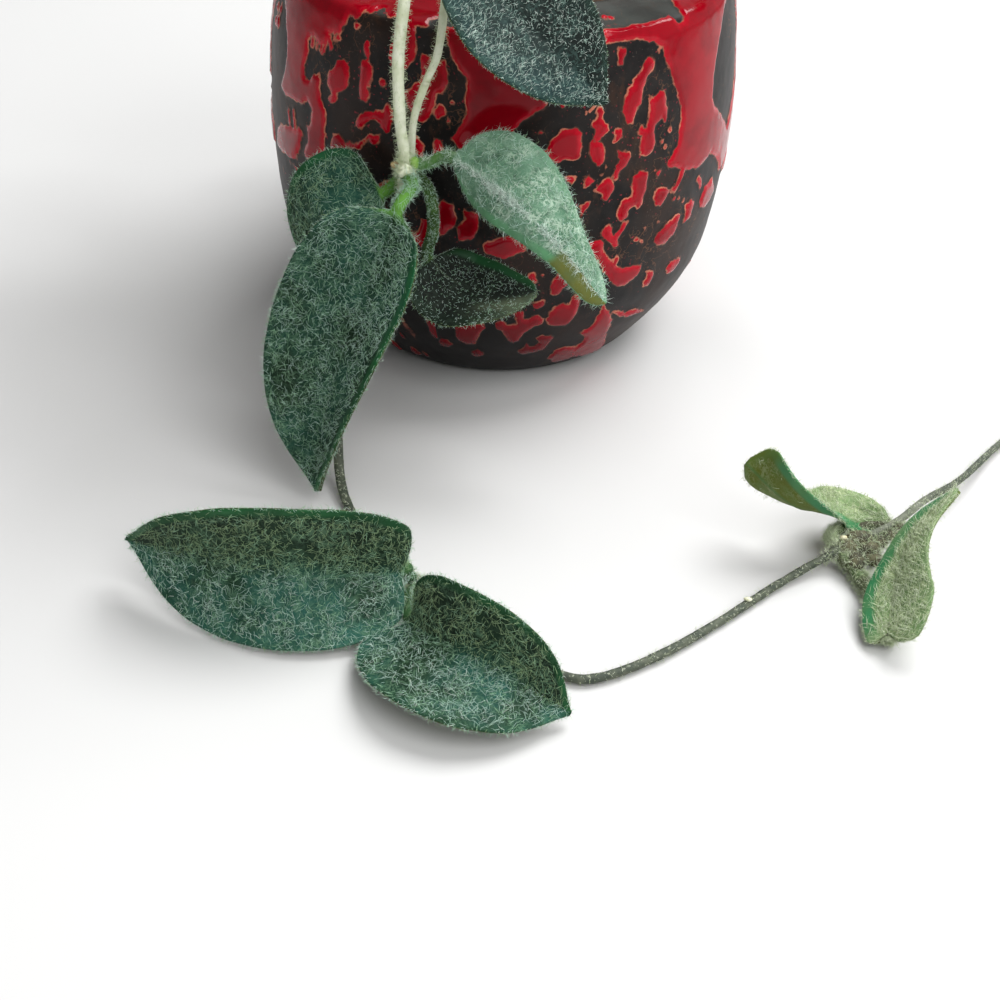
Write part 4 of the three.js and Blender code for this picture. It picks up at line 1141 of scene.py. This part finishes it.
def make_hairs(group, tints):
    """A group's hairs as one piece, each a closed three-sided spike bent once."""
    vertices = np.concatenate([hair_points(*batch[:4]) for batch in hairs[group]])
    vertices[:, 2] = np.maximum(vertices[:, 2], LEAST_HEIGHT)
    last = len(tints) - 1
    steps = [tones * last + rng.uniform(-0.3, 1.3, len(tones)) for *_, tones in hairs[group]]
    pick = np.clip(np.concatenate(steps), 0, last).astype(int)
    base = np.arange(len(pick))[:, None, None] * 7
    quads = np.array([(0, 1, 4, 3), (1, 2, 5, 4), (2, 0, 3, 5)])
    ends = np.array([(2, 1, 0), (3, 4, 6), (4, 5, 6), (5, 3, 6)])
    obj = make_object(
        f"hairs_{group}", vertices,
        [(base + quads).reshape(-1, 4), (base + ends).reshape(-1, 3)], tints,
        face_slots=np.concatenate([np.repeat(pick, 3), np.repeat(pick, 4)]),
    )
    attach(obj, "root")


def scatter(points, normals, keep, density, tones=None):
    """Random places on a grid of points: normals, the grid's directions, and tones there."""
    a, b, c = points[:-1, :-1], points[:-1, 1:], points[1:, :-1]
    area = np.linalg.norm(np.cross(b - a, c - a), axis=-1) * keep[:-1, :-1]
    count = int(area.sum() * density)
    picks = rng.choice(area.size, count, p=(area / area.sum()).ravel())
    r, q = np.unravel_index(picks, area.shape)
    f, g = rng.random((count, 1)), rng.random((count, 1))

    def blend(grid):
        return (
            grid[r, q] * (1 - f) * (1 - g)
            + grid[r + 1, q] * f * (1 - g)
            + grid[r, q + 1] * (1 - f) * g
            + grid[r + 1, q + 1] * f * g
        )

    ahead, around = unit(c[r, q] - a[r, q]), unit(b[r, q] - a[r, q])
    tone = rng.random(count) if tones is None else tones[r, q]
    return blend(points), unit(blend(normals)), ahead, around, tone


# Vines

STEM_SIDES = 14
STEM_STEP = 0.75
TIP_DOME = 1.4  # length over which a stem's tip is rounded
HIDDEN_FUZZ, SHOWN_FUZZ, NODE_FUZZ = 0.55, 2.2, 5  # hairs for each square millimetre
NODE_FUZZ_REACH = 4.5
IN_SOIL = 16  # length from a stem's foot that has hairs only where it stands out of the soil


def stem_radius(vine, distance, total, nodes):
    """A taper from the foot to the tip that swells at the nodes and ends in a dome."""
    thick, thin = vine["radius"]
    radius = thick + (thin - thick) * (distance / total)
    swollen = radius.copy()
    for node in nodes:
        near = np.maximum(0, 1 - np.abs(distance - node) / NODE_REACH)
        swollen += NODE_SWELLING * near * near * (3 - 2 * near) * (radius / thick)
    end = (total - distance) / TIP_DOME
    return swollen * np.where(end < 1, np.sqrt(np.clip(1 - (1 - end) ** 2, 0.02, 1)), 1)


def stem_age(name, stations, nodes):
    """From 0 for pale and downy to 1 for old and dark, as the photo shows the long stem."""
    if name != "long":
        return np.interp(stations, [0, stations[-1]], [0.3, 0.05])
    first, _, third, tip = nodes
    marks = [first, first + 12, third - 4, third + 5, third + 26, third + 36, tip]
    return np.interp(stations, marks, [0.0, 1.0, 1.0, 0.74, 0.68, 0.9, 0.6])


def round_stem(tangent):
    """Outward directions of a stem's sides, carried along it without a twist."""
    side = np.array([1.0, 0, 0])
    sides = []
    for t in tangent:
        side = unit(side - t * side.dot(t))
        sides.append(side)
    sides = np.array(sides)
    above = np.cross(tangent, sides)
    angle = (np.arange(STEM_SIDES) * 2 * np.pi / STEM_SIDES)[None, :, None]
    return sides[:, None] * np.cos(angle) + above[:, None] * np.sin(angle)


def make_vine(name, vine, skin):
    path = Path(vine["points"], 4000)
    nodes = [path.length_at(k) for k in vine["nodes"]]
    stations = np.linspace(0, path.total, round(path.total / STEM_STEP))
    radius = stem_radius(vine, stations, path.total, nodes)
    out = round_stem(path.tangent(stations))
    points = path.at(stations)[:, None] + out * radius[:, None, None]
    rough = 0.06 * noise(points, 0.9, 51) + 0.07 * noise(points, 2.4, 52)
    points = points + out * rough[..., None]
    points[..., 2] = np.maximum(points[..., 2], LEAST_HEIGHT)
    age = stem_age(name, stations, nodes)
    stem = make_object(
        f"stem_{name}", points.reshape(-1, 3), tube_faces(len(stations), STEM_SIDES), [skin],
        attributes={"age": np.repeat(age, STEM_SIDES)},
        uvs=tube_uv(len(stations), STEM_SIDES, stations / path.total),
    )
    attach(stem, "root")
    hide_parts(f"vine_{name}")
    loop, outward = (np.concatenate([grid, grid[:, :1]], 1) for grid in (points, out))
    clear = (loop[..., 2] > SOIL_TOP + 1) | (stations > IN_SOIL)[:, None]
    young = 0.3 + 0.7 * np.clip(1 - age, 0, 1)
    fuzz = SHOWN_FUZZ if name in ("long", "short") else HIDDEN_FUZZ
    grow_down(loop, outward, np.where(clear, young[:, None], 0), fuzz, (0.7, 1.6))
    for node in nodes:
        close = (np.abs(stations - node) < NODE_FUZZ_REACH)[:, None] & (loop[..., 2] > 0.6)
        grow_down(loop, outward, np.where(close, 1.0, 0), NODE_FUZZ, (0.9, 2.0))


def grow_down(points, normals, keep, density, lengths):
    """Short hairs that stand out all round a stem."""
    roots, normal, ahead, around, tone = scatter(points, normals, keep, density)
    count = len(roots)
    spread = ahead * rng.normal(0, 0.5, (count, 1)) + around * rng.normal(0, 0.6, (count, 1))
    add_hairs("stem", roots, normal + spread * 0.6, spread, rng.uniform(*lengths, count), tone)


# Buds and knots

KNOT_HAIRS = 290  # for each knot


def uneven_balls(lumps, unevenness):
    """The vertices of balls given by their places and half sizes."""
    return [
        BALL * half * (1 + unevenness * noise(BALL * 2 + place[0], 1.3, 71))[:, None] + place
        for place, half in lumps
    ]


def make_buds():
    """The buds and scales, then the knots with a shaggy coat of hairs."""
    kinds = np.repeat([kind for _, _, kind in BUDS], len(BALL))
    buds = uneven_balls([bud[:2] for bud in BUDS], 0.25)
    obj = make_balls("node_buds", buds, [bud_material()], attributes={"kind": kinds})
    knots = uneven_balls(KNOTS, 0.1)
    obj = make_balls("node_knots", knots, [knot_material()])
    for vertices in [*knots, buds[SHAGGY_BUD]]:
        pick = rng.integers(0, len(BALL), KNOT_HAIRS)
        roots = vertices[pick] + rng.normal(0, 0.22, (KNOT_HAIRS, 3))
        outward = BALL[pick] + rng.normal(0, 0.6, (KNOT_HAIRS, 3))
        bend = rng.normal(0, 1, (KNOT_HAIRS, 3))
        length = rng.uniform(0.8, 1.9, KNOT_HAIRS)
        add_hairs("edge_young", roots, outward, bend, length, rng.random(KNOT_HAIRS))


# Leaves

RING_POINTS = 10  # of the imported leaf's first ring, to find where its stalk starts
SUNK = 0.9  # how far a stalk runs back into its stem
STALK_DOME = 1.3  # length over which a stalk's start is rounded
LOBES_END = 0.22  # share of the blade's length up to which the lobes draw it back
HAIR_CLEARANCE = 0.8  # hairs rooted lower than this are left out
# Leaves in view are near, the others far and coarser
COLUMNS = {"near": 31, "far": 19}  # across each face
BLADE_STEP = {"near": 0.75, "far": 1.5}  # from row to row
STALK_STEP = {"near": 0.8, "far": 1.6}
RIM_TURNS = (math.pi * 0.25, math.pi * 0.5, math.pi * 0.75)
RIM_UPPER = (0.8, 0.5, 0.2)  # how far each column of a rim is skinned as the upper face
EDGES = ((-1, 1.0), (0, -1.0))  # last and first column of a face, and which way each points
# Hairs for each square millimetre of a face, and for each millimetre of an edge
FACE_HAIRS = {"near": 2.1, "far": 0.36}
UNDER_HAIRS = {"near": 0.35, "far": 0.05}
FRINGE_HAIRS = {"near": 5.5, "far": 0.9}


def free_leaf(vine, node, azimuth, rise, stalk, length, half, droop, lean):
    """The full description of a leaf that leaves its node at an angle and droops."""
    heading, tilt = math.radians(azimuth), math.radians(lean)

    def step(point, degrees, distance):
        angle = math.radians(degrees)
        level = distance * math.cos(angle)
        return point + (
            level * math.cos(heading),
            level * math.sin(heading),
            distance * math.sin(angle),
        )

    path = [step(np.array(VINES[vine]["points"][node], float), rise, stalk)]
    for share in (1 / 6, 1 / 2, 5 / 6):
        path.append(step(path[-1], rise - droop * share, length / 3))
    return {
        "vine": vine, "node": node, "stalk": [], "blade": path,
        "right": (
            math.sin(heading) * math.cos(tilt),
            -math.cos(heading) * math.cos(tilt),
            -math.sin(tilt),
        ),
        "half": (half, half), "fold": (12, 12), "cup": 14, "twist": 0,
    }


def stalk_start(name, node):
    """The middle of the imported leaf's first ring, which is the one nearest its node."""
    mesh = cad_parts[name].data
    co = np.empty(len(mesh.vertices) * 3, np.float32)
    mesh.vertices.foreach_get("co", co)
    co = np.unique(np.round(co.reshape(-1, 3) / MM, 3), axis=0)
    order = np.argsort(np.linalg.norm(co - node, axis=1))
    return co[order[:RING_POINTS]].mean(0)


def wrap(face):
    """Values of a face, repeated on the rims and the underside that follow it round."""
    right, left = (np.repeat(ends, len(RIM_TURNS), 1) for ends in (face[:, -1:], face[:, :1]))
    return np.concatenate([face, right, face[:, ::-1], left], 1)


class Leaf:
    """A leaf of one skin, as rows of points round its stalk and blade.

    t runs along the blade from 0 at the stalk to 1 at the tip, and v across it from -1 to 1.
    """

    def __init__(self, name, leaf, view):
        self.name, self.leaf, self.view = name, leaf, view
        size = min(1, sum(leaf["half"]) / FULL_LEAF_WIDTH)
        self.stalk_radius = STALK_RADIUS * (LEAST_STALK_SHARE + (1 - LEAST_STALK_SHARE) * size)
        self.thick = LEAF_THICKNESS * (
            LEAST_THICKNESS_SHARE + (1 - LEAST_THICKNESS_SHARE) * size
        )
        v = np.linspace(-1, 1, COLUMNS[view])
        self.v = 0.45 * np.sin(v * np.pi / 2) + 0.55 * v
        self.left = self.v < 0
        self.follow_route()
        self.raise_faces(*self.spread_blade())
        self.shade()

    def follow_route(self):
        """Stations along the stalk and the blade, and the blade's directions at each."""
        leaf = self.leaf
        node = np.array(VINES[leaf["vine"]]["points"][leaf["node"]], float)
        path = Path([stalk_start(self.name, node), *leaf["stalk"], *leaf["blade"]])
        stalk = path.length_at(len(leaf["stalk"]) + 1)
        blade = path.total - stalk
        first = [s for s in (0, 0.12, 0.35, 0.7) if s < stalk - 0.5]
        share = np.linspace(0, 1, round(blade / BLADE_STEP[self.view]))
        share = 0.5 * share + 0.5 * (1 - np.cos(share * np.pi)) / 2
        along_stalk = np.arange(1.2, stalk - 0.3, STALK_STEP[self.view])
        stations = np.concatenate([first, along_stalk, stalk + share * blade])
        self.stations = stations
        self.past_stalk = (stations - stalk) / blade
        self.t = np.maximum(0, self.past_stalk)
        self.along = self.t + np.minimum(0, stations - stalk) / max(stalk, 1)
        tangent = path.tangent(stations)
        self.tangent = tangent
        sunk = tangent * SUNK * smoothstep(3.0, 0, stations)[:, None]
        self.centre = path.at(stations) - sunk
        right = np.array(leaf["right"], float)
        across = unit(right - tangent * (tangent @ right)[:, None])
        above = np.cross(across, tangent)
        turn = (math.radians(leaf["twist"]) * self.t)[:, None]
        self.across = across * np.cos(turn) + above * np.sin(turn)
        self.above = above * np.cos(turn) - across * np.sin(turn)

    def spread_blade(self):
        """The blade's middle surface, folded and cupped, and its normals."""
        leaf, t, v, left = self.leaf, self.t, self.v, self.left
        width = rounded(*np.array(OUTLINES[leaf["outline"]]).T, t)
        reach = np.where(left, *leaf["half"]) * width[:, None]
        self.reach = np.maximum(reach - self.thick * EDGE_THICKNESS_SHARE / 2, 0.15)
        cup = math.radians(leaf["cup"])
        angle = np.where(left, *(math.radians(fold) for fold in leaf["fold"]))
        self.slope = angle + cup * np.abs(v)
        bend = cup if abs(cup) > 1e-3 else 1e-3
        out = (np.sin(angle + bend * np.abs(v)) - np.sin(angle)) / bend
        up = (np.cos(angle) - np.cos(angle + bend * np.abs(v))) / bend
        sign = np.where(left, -1.0, 1.0)
        across, above = self.across[:, None], self.above[:, None]
        middle = (
            self.centre[:, None]
            + across * (sign * out * self.reach)[..., None]
            + above * (up * self.reach)[..., None]
        )
        normal = unit(
            above * np.cos(self.slope)[None, :, None]
            - across * (sign * np.sin(self.slope))[None, :, None]
        )
        lobes = np.where(left, *leaf["lobes"]) * np.abs(v) ** leaf["notch"]
        back = np.maximum(0, 1 - t / LOBES_END) ** 1.5 * smoothstep(0, 0.004, t)
        return middle - self.tangent[:, None] * (lobes * back[:, None])[..., None], normal

    def raise_faces(self, middle, normal):
        """The upper face and the underside, which close to a round stalk at the base."""
        t, v, stations = self.t[:, None], self.v, self.stations
        rib = np.maximum(0, 1 - t * 6) * (1 - np.abs(v))
        edge = 1 - (1 - EDGE_THICKNESS_SHARE) * v**4
        depth = self.thick * (edge + 0.5 * rib)
        spot = middle + 37.0 * (sum(map(ord, self.name)) % 17)
        self.blade = smoothstep(0.0, 0.12, t)
        waves = 0.22 * noise(spot, 9, 61) + 0.1 * noise(spot, 3.5, 62)
        groove = 0.32 * np.exp(-((v * self.reach / 0.9) ** 2)) * smoothstep(0.0, 0.1, t)
        groove = groove * (1 - 0.8 * t)
        lift = waves * self.blade * (1 - v**4)
        dome = np.sqrt(np.clip(1 - (1 - (stations + 0.02) / STALK_DOME) ** 2, 0.02, 1))
        dome = np.where(stations < STALK_DOME, dome, 1)[:, None, None]
        around = np.radians(90 * (1 - v))[None, :, None]
        spread = smoothstep(-0.02, 0.05, self.past_stalk)[:, None, None]
        self.faces = []
        for side, bulk in (
            (1, depth / 2 + lift - groove * 0.8), (-1, depth / 2 - lift + groove * 0.6),
        ):
            face = middle + normal * (side * bulk)[..., None]
            ring = self.across[:, None] * np.cos(around) + self.above[:, None] * np.sin(
                around
            ) * side
            ring = self.centre[:, None] + ring * self.stalk_radius * dome
            self.faces.append(face * spread + ring * (1 - spread))

    def rims(self):
        """The rounded edges: three columns between the two faces on either side."""
        top, bottom = self.faces
        rims = []
        for column, outward in EDGES:
            a, b = top[:, column], bottom[:, column]
            slope = self.slope[column]
            out = unit(self.across * outward * np.cos(slope) + self.above * np.sin(slope))
            bulge = np.linalg.norm(a - b, axis=1, keepdims=True) / 2
            arc = [
                (a + b) / 2 + (a - b) / 2 * math.cos(q) + out * bulge * math.sin(q)
                for q in RIM_TURNS
            ]
            rims.append(arc if outward > 0 else arc[::-1])
        return rims

    def shade(self):
        """How bare, cool and olive the upper face is in each place; cool is painted light."""
        leaf, t, v = self.leaf, self.t[:, None], self.v
        shape = (len(self.t), len(v))
        strength = np.where(self.left, *leaf["margin"])[None]
        from_edge = (1 - np.abs(v)) * self.reach
        band = leaf["band"]
        self.bare = strength * smoothstep(band, band * 0.55, from_edge) * self.blade
        # cool: the side painted bluish and lighter as sky light; pale_from paints a pale sheen
        # instead
        cool = smoothstep(-0.35, 0.25, v * leaf["cool"]) if leaf["cool"] else 0.5
        if "pale_from" in leaf:
            far_on, low_on = leaf["pale_from"]
            cool = smoothstep(far_on, far_on + 0.3, t) * smoothstep(low_on, low_on + 0.4, v)
        self.cool = np.broadcast_to(cool, shape)
        self.olive = np.zeros(shape)
        if "olive" in leaf:
            far_on, low_on = leaf["olive"]
            self.olive = smoothstep(far_on, far_on + 0.2, t) * smoothstep(
                low_on, low_on + 0.2, v
            )

    def attributes(self, wide):
        """What the skin's material reads at each point, all the way round."""
        n, t = len(self.v), self.t
        upper = wrap(1 - self.olive)
        upper[:, n:] = [*RIM_UPPER, *[0] * n, *RIM_UPPER[::-1]]
        return {
            "across": wrap(np.broadcast_to(self.v, (len(t), n))),
            "along": np.repeat(self.along, wide),
            "upper": upper,
            "bare": wrap(self.bare),
            "cool": wrap(self.cool),
            "stalk": np.repeat(1 - smoothstep(0.0, 0.03, t), wide),
            "turned": np.repeat(smoothstep(0.97, 0.75, t) * self.leaf["young"], wide),
        }

    def make(self, skin):
        """The mesh: each row goes over the upper face, a rim, the underside and a rim."""
        top, bottom = (face.swapaxes(0, 1) for face in self.faces)
        right, left = self.rims()
        loop = np.stack([*top, *right, *bottom[::-1], *left], 1)
        loop[..., 2] = np.maximum(loop[..., 2], LEAST_HEIGHT)
        rows, wide = loop.shape[:2]
        heights = (self.stations - self.stations[0]) / (self.stations[-1] - self.stations[0])
        sides, *caps = tube_uv(rows, wide, heights)
        obj = make_object(
            self.name.replace("leaf_", "hairy_leaf_"), loop.reshape(-1, 3),
            [faces[:, ::-1] for faces in tube_faces(rows, wide)], [skin],
            attributes=self.attributes(wide), uvs=[sides[:, :, ::-1], *caps],
        )
        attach(obj, "root")
        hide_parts(self.name)

    def grow_hairs(self):
        """Curly hairs lying over both faces, and a fringe along the edges."""
        leaf, t, v = self.leaf, self.t[:, None], self.v
        large = sum(leaf["half"]) > FULL_LEAF_WIDTH * 0.6
        length = leaf.get("hair", 2.2 if large else 1.2)
        self.tag = "young" if leaf["young"] else self.view
        top, bottom = self.faces
        crease = leaf["crease"]
        ridge = np.exp(-(((v[None] - 0.04 - 0.1 * t) / 0.07) ** 2)) * crease
        clumps = 1 + 0.7 * noise(top, 4.5, 81) + 0.4 * noise(top, 1.8, 82)
        fuzzy = (1 - np.clip(self.bare, 0, 0.93)) * (1 - 0.7 * self.olive)
        keep = fuzzy * clumps * (1 - 0.5 * crease + 8.5 * ridge)
        # Hairs on the cool side get the paler, bluer tints: painted sky light
        tones = np.clip(leaf.get("tone", 0.62 * self.cool) + 1.5 * ridge, 0, 1)
        on_stalk = np.where(t <= 0, leaf["stalk_fuzz"], 1.0)
        density = FACE_HAIRS[self.view] * leaf["dense"]
        under = leaf.get("under", UNDER_HAIRS[self.view])
        self.cover("top", top, grid_normals(top), keep * on_stalk, density, length, tones)
        self.cover(
            "under", bottom, -grid_normals(bottom), clumps * on_stalk, under, length * 0.7, tones
        )
        self.fringe(leaf.get("fringe", length), FRINGE_HAIRS[self.view])

    def cover(self, face, points, normals, keep, density, length, tones):
        """Hairs over one face, those too near the ground left out."""
        found = scatter(points, normals, keep, density, tones)
        clear = found[0][:, 2] > HAIR_CLEARANCE
        roots, normal, ahead, around, tone = (q[clear] for q in found)
        count = len(roots)
        turn = rng.uniform(0, 2 * np.pi, (count, 1))
        flat = ahead * (np.cos(turn) + self.leaf["comb"]) + around * np.sin(turn)
        rise = rng.uniform(*self.leaf["rise"], (count, 1))
        curl = rng.normal(0, self.leaf["curl"], (count, 1))
        bend = unit(flat + np.cross(normal, flat) * curl) + normal * 0.1
        lengths = length * rng.uniform(0.5, 1.2, count)
        add_hairs(f"{face}_{self.tag}", roots, normal * rise + flat, bend, lengths, tone)

    def fringe(self, length, density):
        """Hairs that stand out along both edges."""
        top, bottom = self.faces
        for column, outward in EDGES:
            high, low = top[:, column], bottom[:, column]
            steps = np.linalg.norm(np.diff(high, axis=0), axis=1)
            count = int(steps.sum() * density)
            pick = rng.choice(len(steps), count, p=steps / steps.sum())
            f = rng.random((count, 1))
            mixed = rng.uniform(0.0, 1.0, (count, 1))
            edge_top = high[pick] * (1 - f) + high[pick + 1] * f
            edge_low = low[pick] * (1 - f) + low[pick + 1] * f
            roots = edge_top * (1 - mixed) + edge_low * mixed
            slope, above = self.slope[column], self.above[pick]
            out = self.across[pick] * outward * math.cos(slope) + above * math.sin(slope)
            ahead = unit(high[pick + 1] - high[pick])
            lean = rng.normal(0, 0.6, (count, 1))
            tilt = rng.normal(0, 0.6, (count, 1))
            direction = out + ahead * lean + above * tilt
            bend = ahead * rng.normal(0.2, 1, (count, 1)) + above * rng.normal(0, 0.7, (count, 1))
            clear = (roots + direction * 1.5)[:, 2] > 0.4
            lengths = length * rng.uniform(0.4, 1.0, count)
            parts = (roots, direction, bend, lengths, rng.random(count))
            add_hairs(f"edge_{self.tag}", *(part[clear] for part in parts))


# The whole plant


def make_plant():
    make_pot()
    make_soil()
    make_soil_bits()
    stem_skin = stem_material()
    for name, vine in VINES.items():
        make_vine(name, vine, stem_skin)
    make_buds()
    skins = {name: leaf_material(f"leaf_{name}", *skin) for name, skin in SKINS.items()}
    free = {name: free_leaf(*values) for name, values in FREE_LEAVES.items()}
    for name in YOUNG_FREE_LEAVES:
        free[name].update(look="young", young=1)
    for view, leaves in (("near", PLACED_LEAVES), ("far", free)):
        for name, described in leaves.items():
            leaf = Leaf(name, {**LEAF_DEFAULTS, **described}, view)
            leaf.make(skins[leaf.leaf["look"]])
            leaf.grow_hairs()
    green, cream = (
        [plain_material(f"hair_{name}", srgb(*color), 0.6) for name, color in tints.items()]
        for tints in (GREEN_HAIRS, CREAM_HAIRS)
    )
    for group in sorted(hairs):
        make_hairs(group, cream if group == "stem" or "young" in group else green)


# Floor, light and camera

FLOOR_GREY = (0.66, 0.66, 0.655)
LIGHT_LEFT, LIGHT_RIGHT = 0.16, 0.6  # the world's strength from left to right
# Place and target in metres, size and power
LIGHTS = {
    "key": ((0.45, 0.35, 1.0), (0.02, -0.05, 0.03), 0.8, 15),
    "fill": ((0.42, -0.7, 0.95), (0, -0.05, 0.05), 0.95, 9),
}
CAMERA_PLACE = (0.00521, -0.4, 0.227)
CAMERA_PITCH, CAMERA_ROLL = 36.65, 3.06
CAMERA_LENS, SENSOR_WIDTH = 57.6, 36


def make_floor():
    bpy.ops.mesh.primitive_plane_add(size=8, location=(0, 0, -0.0002))
    floor = bpy.context.object
    floor.name = "floor"
    floor.data.materials.append(plain_material("floor_pale", FLOOR_GREY, 0.9))


def make_world():
    """White light from all sides, stronger from the right."""
    world = bpy.data.worlds.new("soft_studio")
    bpy.context.scene.world = world
    world.use_nodes = True
    tree = world.node_tree
    direction = tree.nodes.new("ShaderNodeTexCoord").outputs["Generated"]
    split = tree.nodes.new("ShaderNodeSeparateXYZ")
    tree.links.new(direction, split.inputs[0])
    fade = tree.nodes.new("ShaderNodeMapRange")
    tree.links.new(split.outputs["X"], fade.inputs["Value"])
    for key, value in (("From Min", -1), ("To Min", LIGHT_LEFT), ("To Max", LIGHT_RIGHT)):
        fade.inputs[key].default_value = value
    tree.links.new(fade.outputs["Result"], tree.nodes["Background"].inputs["Strength"])
    tree.nodes["Background"].inputs["Color"].default_value = (1, 1, 1, 1)


def add_to_scene(name, data, place, axes):
    """A light or camera at a place, with its right, up and backward directions as axes."""
    obj = bpy.data.objects.new(name, data)
    bpy.context.scene.collection.objects.link(obj)
    obj.matrix_world = Matrix.Translation(place) @ Matrix(axes).transposed().to_4x4()
    return obj


def make_lights():
    for name, (place, target, size, power) in LIGHTS.items():
        data = bpy.data.lights.new(name, "AREA")
        data.shape = "DISK"
        data.size = size
        data.energy = power
        back = unit(np.array(place, float) - np.array(target, float))
        side = unit(np.cross((0.01, 0.02, 1.0), back))
        add_to_scene(name, data, place, (side, np.cross(back, side), back))


def make_camera():
    data = bpy.data.cameras.new("camera")
    data.sensor_width = SENSOR_WIDTH
    data.lens = CAMERA_LENS
    data.clip_start = 0.01
    pitch, roll = math.radians(CAMERA_PITCH), math.radians(CAMERA_ROLL)
    level = np.array([1.0, 0, 0])
    upright = np.array([0, math.sin(pitch), math.cos(pitch)])
    backward = np.array([0, -math.cos(pitch), math.sin(pitch)])
    right = math.cos(roll) * level + math.sin(roll) * upright
    up = -math.sin(roll) * level + math.cos(roll) * upright
    scene = bpy.context.scene
    scene.camera = add_to_scene("camera", data, CAMERA_PLACE, (right, up, backward))
    scene.view_settings.view_transform = "Standard"


make_plant()
make_floor()
make_world()
make_lights()
make_camera()

bpy.context.view_layer.update()
